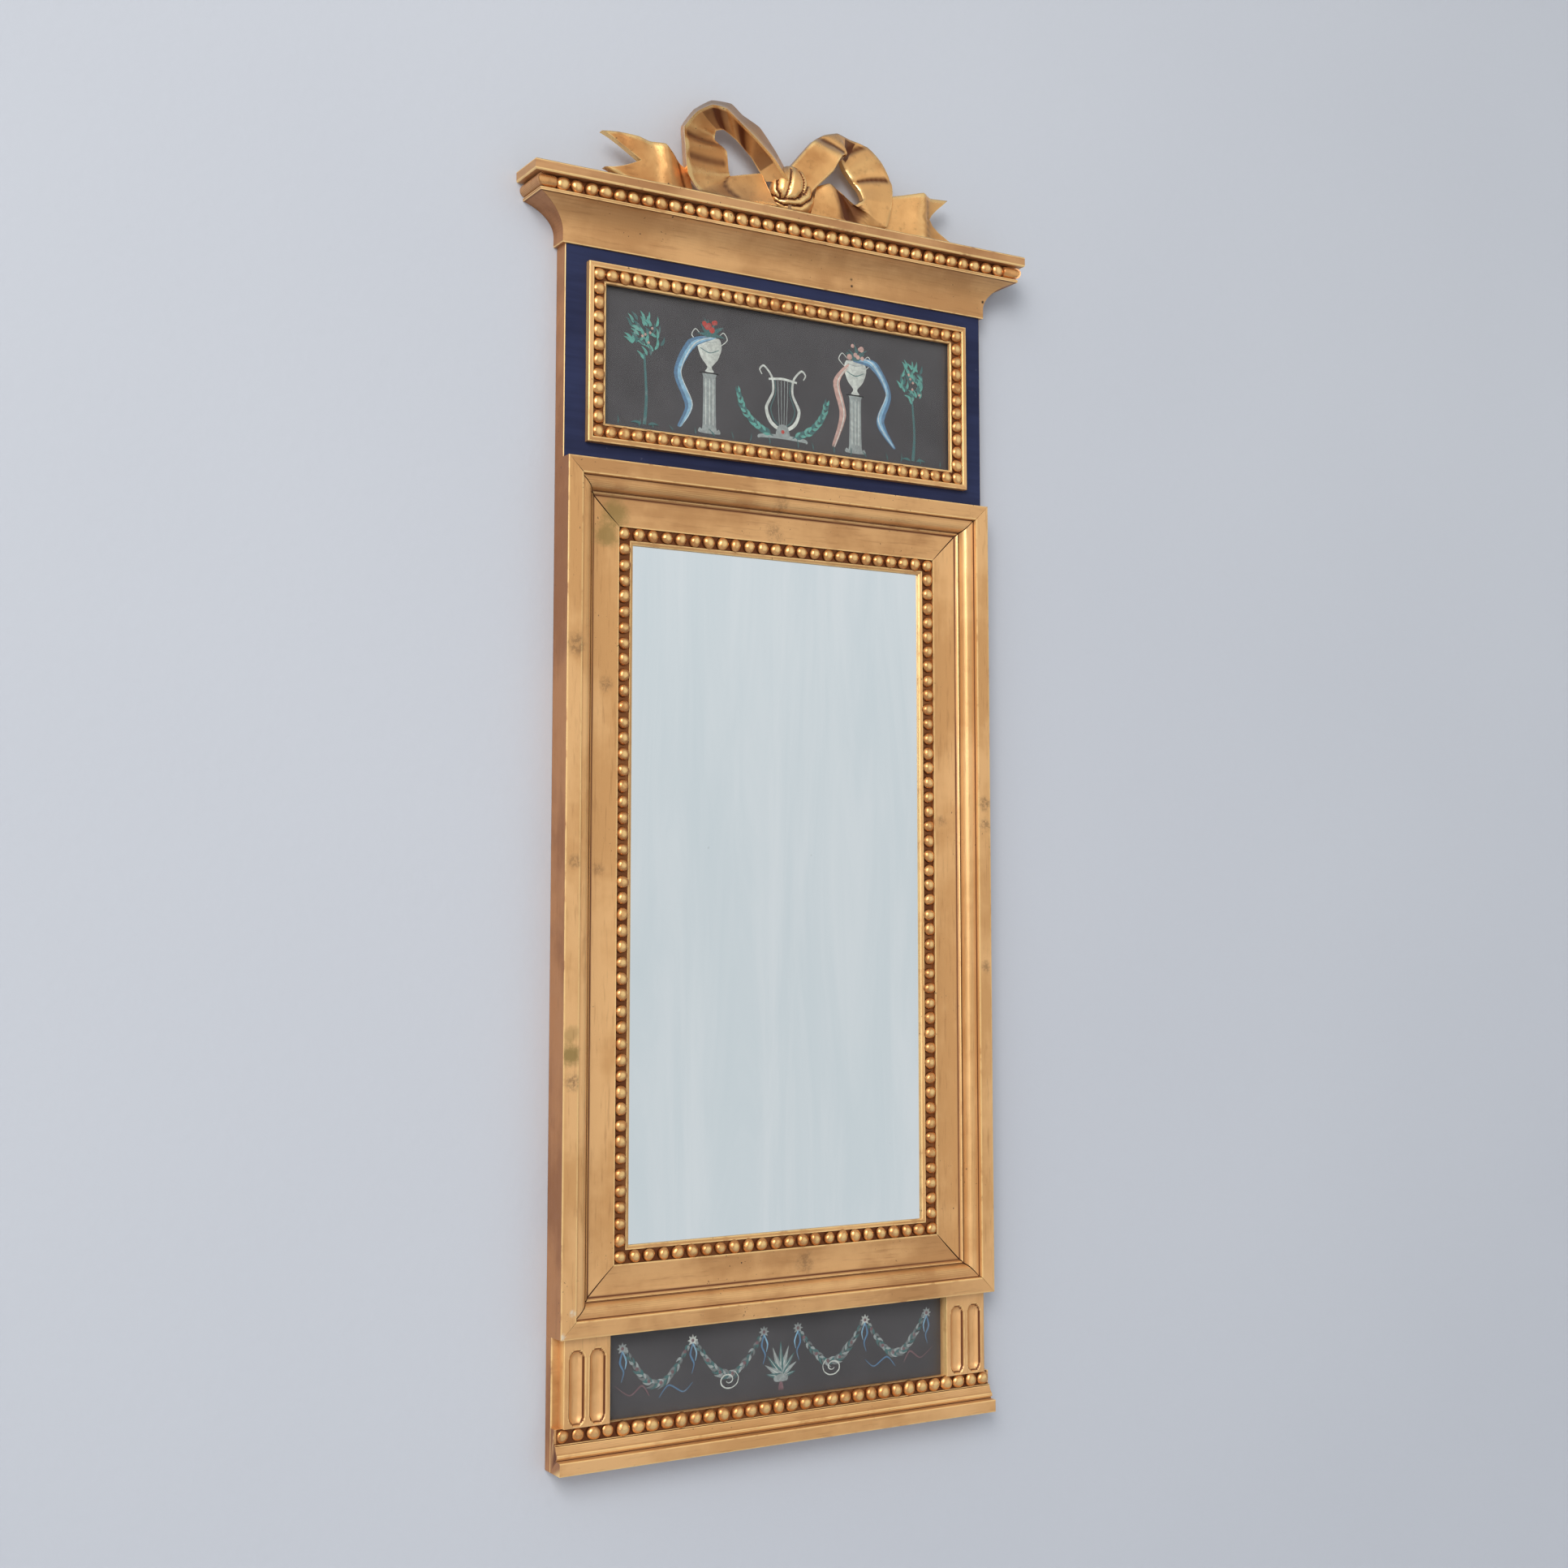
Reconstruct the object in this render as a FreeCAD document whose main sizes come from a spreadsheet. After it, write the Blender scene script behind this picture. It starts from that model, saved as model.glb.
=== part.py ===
import FreeCAD, Part
import math
import os
import types

import Sketcher

# Trumeau mirror: a mitred giltwood frame with a mirror glass, a painted frieze above it under a
# hollow cornice with a carved ribbon bow, and a painted panel between fluted blocks below it.
#
# The origin is on the wall plane, in the middle of the back of the frame's top rail. X runs to the
# right, Y into the wall, so that every front faces -Y, and Z runs up. Sizes are millimetres.

SIZES = {
    # mirror frame
    "frame_width": 380.0,
    "frame_height": 637.0,
    "frame_depth": 25.0,
    "moulding_width": 60.0,
    "fillet_width": 12.0,
    "fillet_step": 3.4,
    "ovolo_start": 14.0,
    "ovolo_end": 22.5,
    "ovolo_drop": 9.8,
    "ovolo_radius": 6.8,
    "quirk_width": 1.2,
    "quirk_depth": 1.2,
    "field_step": 2.0,
    "field_depth": 12.0,
    "seat_depth": 14.6,
    "seat_width": 9.6,
    "lip_width": 3.0,
    "lip_rise": 1.2,
    "rebate_depth": 16.5,
    "rebate_width": 7.0,
    "arris": 0.6,
    # pearls
    "pearl_radius": 4.6,
    "pearl_height": 3.6,
    "pearl_bed": 1.0,
    "pearl_fit": 0.1,
    "pearls_across": 24,
    "pearls_down": 46,
    # mirror glass and its back
    "mirror_thickness": 3.0,
    "backboard_thickness": 4.0,
    "edge_gap": 1.0,
    "brad_side": 1.2,
    "brad_length": 16.0,
    "brad_bite": 7.0,
    "brad_spacing": 130.0,
    # frieze
    "frieze_depth": 15.0,
    "picture_frame_height": 137.0,
    "picture_margin_sides": 17.5,
    "picture_margin_below": 13.0,
    "picture_margin_above": 11.5,
    "picture_moulding": 15.0,
    "picture_moulding_depth": 5.4,
    "picture_fillet": 4.2,
    "picture_seat": 2.4,
    "picture_lip": 1.8,
    "picture_lip_rise": 1.0,
    "picture_lap": 3.0,
    "picture_thickness": 1.5,
    "pane_thickness": 2.0,
    "pane_gap": 0.1,
    "frieze_pearl_radius": 4.2,
    "frieze_pearl_height": 2.9,
    "frieze_pearls_across": 31,
    "frieze_pearls_down": 12,
    # tongues that join the frieze and the base to the frame
    "tongue_length": 280.0,
    "tongue_thickness": 4.0,
    "tongue_depth": 10.0,
    "tongue_inset": 2.5,
    "tongue_gap": 0.1,
    # cornice
    "cornice_height": 53.0,
    "cornice_front": 20.0,
    "cornice_side": 33.5,
    "crown_thickness": 8.5,
    "crown_arris": 0.8,
    "cove_foot": 1.8,
    "cove_toe": 8.0,
    "cove_height": 31.0,
    "cove_rim": 16.0,
    "cove_front_radius": 26.0,
    "cove_side_radius": 27.8,
    "cornice_lip": 2.4,
    "cornice_lip_rise": 0.8,
    "cornice_seat": 12.4,
    "round_width": 9.6,
    "round_radius": 4.9,
    "cornice_pearls": 35,
    "corner_block": 7.0,
    # base
    "base_height": 93.8,
    "base_board_depth": 9.0,
    "block_inset": 5.8,
    "block_width": 36.5,
    "block_depth": 9.4,
    "flute_radius": 6.6,
    "flute_setback": 2.0,
    "flute_spacing": 16.2,
    "flute_top": 9.0,
    "pane_lap": 2.4,
    "base_pane": 2.0,
    "base_picture": 1.0,
    "base_moulding_height": 30.8,
    "base_seat_depth": 15.0,
    "base_seat_height": 10.4,
    "base_lip": 1.0,
    "base_lip_depth": 16.4,
    "fascia_depth": 20.5,
    "fascia_height": 8.4,
    "fascia_radius": 9.0,
    "base_quirk": 1.4,
    "base_quirk_depth": 18.6,
    "base_pearls": 32,
    "base_pearl_inset": 1.7,
    # bow
    "bow_knot_back": 8.0,
    "bow_knot_depth": 20.0,
    "bow_knot_bevel": 4.0,
    "bow_ribbon": 6.0,
    "peg_side": 3.0,
    "peg_length": 14.0,
    "peg_bite": 6.0,
    "peg_gap": 0.05,
    "peg_setback": 22.0,
    "peg_spacing": 117.0,
    # hangers
    "hanger_rise": 205.0,
    "hanger_inset": 15.0,
    "hanger_clearance": 0.1,
    "strap_width": 10.0,
    "strap_length": 34.0,
    "strap_thickness": 1.2,
    "barrel_radius": 3.0,
    "wire_radius": 1.3,
    "wire_clearance": 0.05,
    "ring_width": 14.0,
    "ring_drop": 17.0,
    "pocket_margin": 2.0,
    "pocket_width": 22.0,
    "nail_side": 1.8,
    "nail_point": 0.5,
    "nail_length": 10.0,
    "nail_head": 4.4,
    "nail_head_height": 1.0,
    "nail_crown": 1.4,
    "nail_first": 11.5,
    "nail_second": 27.0,
    "nail_gap": 0.05,
}

PEARL_SIDES = 6
PEARL_SLOPE = 0.38

SHEET = "Sizes"
FRONT = "XZ_Plane"
SIDE = "YZ_Plane"
TOP = "XY_Plane"


class Length:
    """A length in millimetres, together with the spreadsheet formula that gives it."""

    def __init__(self, value, formula):
        self.value = float(value)
        self.formula = formula

    def joined(self, other, sign, value):
        other = as_length(other)
        return Length(value(self.value, other.value), f"({self.formula} {sign} {other.formula})")

    def __add__(self, other):
        return self.joined(other, "+", lambda a, b: a + b)

    def __sub__(self, other):
        return self.joined(other, "-", lambda a, b: a - b)

    def __mul__(self, other):
        return self.joined(other, "*", lambda a, b: a * b)

    def __truediv__(self, other):
        return self.joined(other, "/", lambda a, b: a / b)

    def __neg__(self):
        return Length(-self.value, f"(0 - {self.formula})")


def as_length(size):
    """A plain number as a Length, so that both can stand in one formula."""
    if isinstance(size, Length):
        return size
    return Length(size, repr(float(size))) if size else ZERO


ZERO = Length(0, "0")
s = types.SimpleNamespace(**{name: Length(value, f"{SHEET}.{name}") for name, value in SIZES.items()})
doc = FreeCAD.newDocument("trumeau_mirror")
subparts = []


def make_sheet():
    """Write the driving dimensions to the spreadsheet, each with its alias."""
    sheet = doc.addObject("Spreadsheet::Sheet", SHEET)
    for row, (name, value) in enumerate(SIZES.items(), start=1):
        sheet.set(f"A{row}", name.replace("_", " "))
        sheet.set(f"B{row}", str(value))
        sheet.setAlias(f"B{row}", name)
    doc.recompute()


# ---------------------------------------------------------------- helpers for bodies and sketches


def origin_rise():
    """Height of the origin, in the middle of the top rail's back, over the mirror frame's centre."""
    return s.frame_height / 2 - (s.moulding_width - s.rebate_width) / 2


def place(thing, base, turn=0.0):
    """Put a sub-part at base, measured from the mirror frame's centre, turned about Y by degrees."""
    base = [as_length(length) for length in base]
    base[2] = base[2] - origin_rise()
    origin = FreeCAD.Vector(*[length.value for length in base])
    thing.Placement = FreeCAD.Placement(origin, FreeCAD.Rotation(FreeCAD.Vector(0, 1, 0), turn))
    for axis, length in zip("xyz", base):
        thing.setExpression(f".Placement.Base.{axis}", length.formula)


def new_body(name, base=(0, 0, 0), turn=0.0):
    """A part-design body that is one sub-part."""
    body = doc.addObject("PartDesign::Body", name)
    body.Label = name
    place(body, base, turn)
    subparts.append(body)
    return body


def new_sketch(body, role, name, offset=ZERO, across=ZERO, up=ZERO):
    """A sketch on one of the body's own origin planes, moved along its normal and in the plane."""
    plane = [feature for feature in body.Origin.OriginFeatures if feature.Role == role][0]
    sketch = body.newObject("Sketcher::SketchObject", f"{body.Name}_{name}")
    sketch.AttachmentSupport = [(plane, "")]
    sketch.MapMode = "FlatFace"
    sketch.AttachmentOffset = FreeCAD.Placement(
        FreeCAD.Vector(across.value, up.value, offset.value), FreeCAD.Rotation()
    )
    sketch.setExpression(".AttachmentOffset.Base.x", across.formula)
    sketch.setExpression(".AttachmentOffset.Base.y", up.formula)
    sketch.setExpression(".AttachmentOffset.Base.z", offset.formula)
    return sketch


def arc_edge(start, end, radius, bulge):
    """The arc from start to end, bulging to the left of that line for bulge 1, to its right for -1."""
    chord = end - start
    middle = (start + end) * 0.5
    normal = FreeCAD.Vector(-chord.y, chord.x, 0).normalize()
    depth = math.sqrt(max(radius**2 - (chord.Length / 2) ** 2, 0))
    centre = middle - normal * depth * bulge
    first, last = (end, start) if bulge > 0 else (start, end)
    angles = [math.atan2((point - centre).y, (point - centre).x) for point in (first, last)]
    circle = Part.Circle(centre, FreeCAD.Vector(0, 0, 1), radius)
    return Part.ArcOfCircle(circle, angles[0], angles[1])


def draw_outline(sketch, corners, arcs=None):
    """Close an outline through the corners. arcs gives (radius, bulge) by the corner they start at.

    Every corner's two coordinates and every radius are constraints bound to the sheet.
    """
    arcs = arcs or {}
    corners = [(as_length(across), as_length(up)) for across, up in corners]
    points = [FreeCAD.Vector(across.value, up.value, 0) for across, up in corners]
    count = len(points)
    first = sketch.GeometryCount
    ends = []
    for index in range(count):
        start, end = points[index], points[(index + 1) % count]
        if index in arcs:
            radius, bulge = arcs[index]
            sketch.addGeometry(arc_edge(start, end, radius.value, bulge), False)
            ends.append((2, 1) if bulge > 0 else (1, 2))
        else:
            sketch.addGeometry(Part.LineSegment(start, end), False)
            ends.append((1, 2))
    for index in range(count):
        after = (index + 1) % count
        sketch.addConstraint(
            Sketcher.Constraint(
                "Coincident", first + index, ends[index][1], first + after, ends[after][0]
            )
        )
    for index, corner in enumerate(corners):
        for kind, axis, length in zip(("DistanceX", "DistanceY"), (-2, -1), corner):
            vertex = (first + index, ends[index][0])
            if length is ZERO:
                sketch.addConstraint(Sketcher.Constraint("PointOnObject", *vertex, axis))
            else:
                bind(sketch, Sketcher.Constraint(kind, -1, 1, *vertex, length.value), length)
    for index, (radius, _) in arcs.items():
        bind(sketch, Sketcher.Constraint("Radius", first + index, radius.value), radius)


def bind(sketch, constraint, length):
    """Add a constraint whose value follows the sheet."""
    number = sketch.addConstraint(constraint)
    sketch.setExpression(f"Constraints[{number}]", length.formula)


def rectangle(left, bottom, right, top):
    """The corners of an upright rectangle."""
    return [(left, bottom), (right, bottom), (right, top), (left, top)]


def draw_circle(sketch, centre, radius):
    """A circle with its centre and radius bound to the sheet."""
    centre = [as_length(length) for length in centre]
    radius = as_length(radius)
    middle = FreeCAD.Vector(centre[0].value, centre[1].value, 0)
    number = sketch.addGeometry(Part.Circle(middle, FreeCAD.Vector(0, 0, 1), radius.value), False)
    for kind, length in zip(("DistanceX", "DistanceY"), centre):
        bind(sketch, Sketcher.Constraint(kind, -1, 1, number, 3, length.value), length)
    bind(sketch, Sketcher.Constraint("Radius", number, radius.value), radius)


def pad(body, sketch, length, symmetric=False, reverse=False):
    """Pad a sketch by a length from the sheet."""
    feature = body.newObject("PartDesign::Pad", f"{sketch.Name}_pad")
    feature.Profile = sketch
    feature.setExpression("Length", length.formula)
    feature.SideType = "Symmetric" if symmetric else "One side"
    feature.Reversed = reverse
    return feature


def pocket(body, sketch, length=None, symmetric=False, reverse=False):
    """Cut a sketch out of the body, right through if no length is given."""
    feature = body.newObject("PartDesign::Pocket", f"{sketch.Name}_pocket")
    feature.Profile = sketch
    if length is None:
        feature.Type = "ThroughAll"
    else:
        feature.setExpression("Length", length.formula)
    feature.SideType = "Symmetric" if symmetric else "One side"
    feature.Reversed = reverse
    return feature


def board(name, outline, back, thickness):
    """A flat piece seen from the front: outline in X and Z, from its back face to the front."""
    body = new_body(name)
    sketch = new_sketch(body, FRONT, "outline", back)
    draw_outline(sketch, outline)
    pad(body, sketch, thickness)
    return body


# ---------------------------------------------------------------- mitred frames and their pearls


def frame_sides(width, height, centre=ZERO, back=ZERO):
    """The four sides of a frame: name, length, where the outer edge lies and how it is turned."""
    return [
        ("top", width, (ZERO, back, centre + height / 2), 0.0),
        ("bottom", width, (ZERO, back, centre - height / 2), 180.0),
        ("left", height, (-(width / 2), back, centre), -90.0),
        ("right", height, (width / 2, back, centre), 90.0),
    ]


def mitred_rail(name, length, width, corners, arcs, base, turn):
    """A length of moulding with both ends cut at 45 degrees. Its outer edge lies on local Z 0."""
    body = new_body(name, base, turn)
    section = new_sketch(body, SIDE, "section")
    draw_outline(section, corners, arcs)
    pad(body, section, length, symmetric=True)
    mitres = new_sketch(body, FRONT, "mitres")
    for sign in (1, -1):
        tip = length / 2 * sign
        toe = (length / 2 - width) * sign
        draw_outline(mitres, [(tip, ZERO), (tip, -width), (toe, -width)])
    pocket(body, mitres, symmetric=True)
    return body


def frame_section():
    """The mirror frame's section: high outer fillet, ovolo, field, pearl seat, lip and rebate."""
    front = -s.frame_depth
    step = front + s.fillet_step
    drop = front + s.ovolo_drop
    field = front + s.field_depth
    seat = front + s.seat_depth
    rebate = front + s.rebate_depth
    quirk_end = s.ovolo_end + s.quirk_width
    seat_start = s.moulding_width - s.lip_width - s.seat_width
    seat_end = s.moulding_width - s.lip_width
    shoulder = s.moulding_width - s.rebate_width
    corners = [
        (ZERO, ZERO),
        (front + s.arris, ZERO),
        (front, -s.arris),
        (front, -s.fillet_width),
        (step, -(s.fillet_width + s.arris)),
        (step, -s.ovolo_start),
        (drop, -s.ovolo_end),
        (drop + s.quirk_depth, -s.ovolo_end),
        (drop + s.quirk_depth, -quirk_end),
        (drop, -quirk_end),
        (field, -(quirk_end + s.field_step)),
        (field, -seat_start),
        (seat, -seat_start),
        (seat, -seat_end),
        (seat - s.lip_rise, -seat_end),
        (seat, -s.moulding_width),
        (rebate, -s.moulding_width),
        (rebate, -shoulder),
        (ZERO, -shoulder),
    ]
    return corners, {5: (s.ovolo_radius, -1)}


def groove_for_tongue(body, upward):
    """A groove for half of a loose tongue, in the edge that lies on local Z 0."""
    groove = new_sketch(body, TOP, "tongue_groove")
    half = s.tongue_length / 2 + s.tongue_gap
    back = -(s.tongue_inset - s.tongue_gap)
    front = -(s.tongue_inset + s.tongue_thickness + s.tongue_gap)
    draw_outline(groove, rectangle(-half, front, half, back))
    pocket(body, groove, s.tongue_depth + s.tongue_gap, reverse=upward)


def hanger_floor():
    """How far the floor of a hanger's recess lies in front of the wall plane."""
    return s.barrel_radius * 2 + s.hanger_clearance


def hanger_recess(body, upward):
    """The recess in a stile's back for its hanger.

    The stile's local X points up for upward 1 and down for upward -1.
    """
    side = s.pocket_width / 2
    top = (s.hanger_rise + s.ring_drop + s.wire_radius + s.pocket_margin) * upward
    bottom = (s.hanger_rise - s.strap_length - s.pocket_margin) * upward
    middle = -s.hanger_inset
    recess = new_sketch(body, FRONT, "hanger_recess")
    draw_outline(recess, rectangle(bottom, middle - side, top, middle + side))
    pocket(body, recess, hanger_floor(), reverse=True)


def make_mirror_frame():
    """Four mitred lengths of moulding: grooved rails, and stiles with recesses for the hangers."""
    corners, arcs = frame_section()
    for side, length, base, turn in frame_sides(s.frame_width, s.frame_height):
        kind = "rail" if side in ("top", "bottom") else "stile"
        name = f"frame_{side}_{kind}"
        body = mitred_rail(name, length, s.moulding_width, corners, arcs, base, turn)
        if kind == "rail":
            groove_for_tongue(body, upward=False)
        else:
            hanger_recess(body, 1 if side == "left" else -1)


def pearl_string(name, base, turn, bed, line, seat, span, count, radius, height, blocks=ZERO):
    """A carved string of pearls on its bed, which lies on a seat at local Y -seat.

    bed is the bed's outline (left, bottom, right, top), line the height of the pearls' centres,
    span the distance between the first and the last centre. blocks is the length of a corner
    block at each end of the bed, or zero.
    """
    body = new_body(name, base, turn)
    foot = seat + s.pearl_bed
    start = -(span / 2)
    outline = new_sketch(body, FRONT, "pearl", foot, start, line)
    corners = []
    for step in range(PEARL_SIDES):
        angle = 2 * math.pi * step / PEARL_SIDES
        corners.append((radius * round(math.cos(angle), 6), radius * round(math.sin(angle), 6)))
    draw_outline(outline, corners)
    pad(body, outline, height)
    flank = new_sketch(body, SIDE, "flank", start, ZERO, line)
    side = radius * round(math.cos(math.pi / PEARL_SIDES), 6)
    top = -(foot + height)
    draw_outline(flank, [(-foot, side), (top, side - radius * PEARL_SLOPE), (top, side)])
    facet = pocket(body, flank, symmetric=True)
    ring = body.newObject("PartDesign::PolarPattern", f"{name}_facets")
    ring.Originals = [facet]
    ring.Axis = (outline, ["N_Axis"])
    ring.Angle = 360
    ring.Occurrences = PEARL_SIDES
    body.Tip = ring
    doc.recompute()
    row = body.newObject("PartDesign::LinearPattern", f"{name}_row")
    row.TransformMode = "Whole shape"
    row.Direction = (outline, ["H_Axis"])
    row.setExpression("Length", span.formula)
    row.setExpression("Occurrences", count.formula)
    body.Tip = row
    strip = new_sketch(body, FRONT, "bed", seat)
    draw_outline(strip, rectangle(*bed))
    pad(body, strip, s.pearl_bed)
    if blocks is not ZERO:
        ends = new_sketch(body, FRONT, "corner_blocks", seat)
        draw_outline(ends, rectangle(bed[0], bed[1], bed[0] + blocks, bed[3]))
        draw_outline(ends, rectangle(bed[2] - blocks, bed[1], bed[2], bed[3]))
        pad(body, ends, s.pearl_bed + height)
    return body


def frame_pearls(prefix, width, height, centre, back, seat, line, seat_width, counts, radius, rise):
    """Pearl strings on the four sides of a frame; those across hold the corner pearls."""
    half_seat = seat_width / 2 - s.pearl_fit
    for side, length, base, turn in frame_sides(width, height, centre, back):
        if side in ("top", "bottom"):
            half = length / 2 - line + half_seat
            span, count = length - line * 2, counts[0]
        else:
            half = length / 2 - line - half_seat - s.pearl_fit
            pitch = (length - line * 2) / (counts[1] - 1)
            span, count = length - line * 2 - pitch * 2, counts[1] - 2
        bed = (-half, -line - half_seat, half, -line + half_seat)
        pearl_string(f"{prefix}_{side}", base, turn, bed, -line, seat, span, count, radius, rise)


def make_frame_pearls():
    """The pearls round the mirror glass."""
    frame_pearls(
        "frame_pearls",
        s.frame_width,
        s.frame_height,
        ZERO,
        ZERO,
        s.frame_depth - s.seat_depth,
        s.moulding_width - s.lip_width - s.seat_width / 2,
        s.seat_width,
        (s.pearls_across, s.pearls_down),
        s.pearl_radius,
        s.pearl_height,
    )


# ---------------------------------------------------------------- mirror glass and its back


def centred(width, height, centre=ZERO):
    """The outline of a board centred on X, about the height of its centre."""
    return rectangle(-(width / 2), centre - height / 2, width / 2, centre + height / 2)


def make_mirror():
    """The mirror glass and its backboard in the frame's rebate, held by brads."""
    narrowing = (s.moulding_width - s.rebate_width + s.edge_gap) * 2
    width, height = s.frame_width - narrowing, s.frame_height - narrowing
    glass_back = s.frame_depth - s.rebate_depth - s.mirror_thickness
    board_back = glass_back - s.backboard_thickness
    board("mirror_glass", centred(width, height), glass_back, s.mirror_thickness)
    board("mirror_backboard", centred(width, height), board_back, s.backboard_thickness)
    make_brads(board_back)


def box(name, size, corner):
    """A plain box with its size and its lowest corner bound to the sheet."""
    thing = doc.addObject("Part::Box", name)
    for side, length in zip(("Length", "Width", "Height"), size):
        thing.setExpression(side, as_length(length).formula)
    for axis, length in zip("xyz", corner):
        thing.setExpression(f".Placement.Base.{axis}", as_length(length).formula)
    return thing


def make_brads(board_back):
    """Square brads in the frame, lying on the backboard."""
    brads = []
    side_edge = s.frame_width / 2 - s.moulding_width + s.rebate_width
    head_edge = s.frame_height / 2 - s.moulding_width + s.rebate_width
    near = -board_back
    for sign in (-1, 1):
        start = side_edge * sign + s.brad_bite * sign - (ZERO if sign < 0 else s.brad_length)
        for place_on in (-1.5, -0.5, 0.5, 1.5):
            rise = s.brad_spacing * place_on - s.brad_side / 2
            size = (s.brad_length, s.brad_side, s.brad_side)
            brads.append(box(f"brad_{len(brads) + 1}", size, (start, near, rise)))
        rise = head_edge * sign + s.brad_bite * sign - (ZERO if sign < 0 else s.brad_length)
        for place_on in (-0.5, 0.5):
            across = s.brad_spacing * place_on - s.brad_side / 2
            size = (s.brad_side, s.brad_side, s.brad_length)
            brads.append(box(f"brad_{len(brads) + 1}", size, (across, near, rise)))
    group("backboard_brads", brads)


def group(name, members, base=(0, 0, 0)):
    """Several like solids that make one sub-part."""
    thing = doc.addObject("Part::Compound", name)
    thing.Label = name
    thing.Links = members
    place(thing, base)
    subparts.append(thing)
    return thing


# ---------------------------------------------------------------- frieze


def frieze_height():
    """Height of the frieze between the mirror frame and the cornice."""
    return s.picture_margin_below + s.picture_frame_height + s.picture_margin_above


def picture_middle():
    """Height of the middle of the frieze's picture over the mirror frame."""
    return s.picture_margin_below + s.picture_frame_height / 2


def make_frieze():
    """The frieze board, its picture under glass and the small pearled frame on it."""
    body = new_body("frieze_board", (0, 0, s.frame_height / 2))
    outline = new_sketch(body, FRONT, "outline")
    height = frieze_height() + s.cornice_height - s.crown_thickness
    half = s.frame_width / 2
    draw_outline(outline, rectangle(-half, ZERO, half, height))
    pad(body, outline, s.frieze_depth)
    groove_for_tongue(body, upward=True)
    opening = (s.picture_moulding - s.picture_lap) * 2
    frame_width = s.frame_width - s.picture_margin_sides * 2
    width, height = frame_width - opening, s.picture_frame_height - opening
    recess = new_sketch(body, FRONT, "picture_recess", s.frieze_depth)
    draw_outline(recess, centred(width, height, picture_middle()))
    pocket(body, recess, s.pane_thickness + s.picture_thickness)

    fit = s.pane_gap * 2
    centre = s.frame_height / 2 + picture_middle()
    glass = centred(width - fit, height - fit, centre)
    glass_back = s.frieze_depth - s.pane_thickness
    board("frieze_glass", glass, glass_back, s.pane_thickness)
    board("frieze_picture", glass, glass_back - s.picture_thickness, s.picture_thickness)

    front = -s.picture_moulding_depth
    seat = -s.picture_seat
    seat_end = s.picture_moulding - s.picture_lip
    corners = [
        (ZERO, ZERO),
        (front + s.arris, ZERO),
        (front, -s.arris),
        (front, -s.picture_fillet + s.arris),
        (front + s.arris, -s.picture_fillet),
        (seat, -s.picture_fillet),
        (seat, -seat_end),
        (seat - s.picture_lip_rise, -seat_end),
        (seat, -s.picture_moulding),
        (ZERO, -s.picture_moulding),
    ]
    sides = frame_sides(frame_width, s.picture_frame_height, centre, -s.frieze_depth)
    for side, length, base, turn in sides:
        mitred_rail(f"frieze_frame_{side}", length, s.picture_moulding, corners, {}, base, turn)
    frame_pearls(
        "frieze_pearls",
        frame_width,
        s.picture_frame_height,
        centre,
        -s.frieze_depth,
        s.picture_seat,
        (s.picture_fillet + seat_end) / 2,
        seat_end - s.picture_fillet,
        (s.frieze_pearls_across, s.frieze_pearls_down),
        s.frieze_pearl_radius,
        s.frieze_pearl_height,
    )


def make_tongues():
    """Loose tongues that join the frieze and the base to the mirror frame."""
    for name, sign in (("frieze_tongue", 1), ("base_tongue", -1)):
        body = new_body(name, (0, 0, s.frame_height / 2 * sign))
        outline = new_sketch(body, FRONT, "outline", s.tongue_inset)
        half = s.tongue_length / 2
        draw_outline(outline, rectangle(-half, -s.tongue_depth, half, s.tongue_depth))
        pad(body, outline, s.tongue_thickness)


# ---------------------------------------------------------------- cornice


def cornice_rise():
    """Height of the cornice's lower edge."""
    return s.frame_height / 2 + frieze_height()


def cornice_profile(scale, radius, plain):
    """The cornice's section as (projection, height): foot, cove, lip and pearl seat.

    scale stretches the projections for the sides. plain puts a half round on the seat.
    """
    top = s.cornice_height - s.crown_thickness
    lip_top = s.cove_height + s.cornice_lip
    seat = (s.cove_rim if plain else s.cornice_seat) * scale
    points = [
        (ZERO, ZERO),
        (s.cove_foot * scale, ZERO),
        (s.cove_foot * scale, s.cove_toe),
        (s.cove_rim * scale, s.cove_height),
        ((s.cove_rim + s.cornice_lip_rise) * scale, s.cove_height),
        ((s.cove_rim + s.cornice_lip_rise) * scale, lip_top),
        (seat, lip_top),
    ]
    arcs = {2: (radius, -1)}
    if plain:
        margin = (top - lip_top - s.round_width) / 2
        points.append((seat, lip_top + margin))
        arcs[len(points) - 1] = (s.round_radius, 1)
        points.append((seat, top - margin))
    points.append((seat, top))
    points.append((ZERO, top))
    return points, arcs


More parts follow.
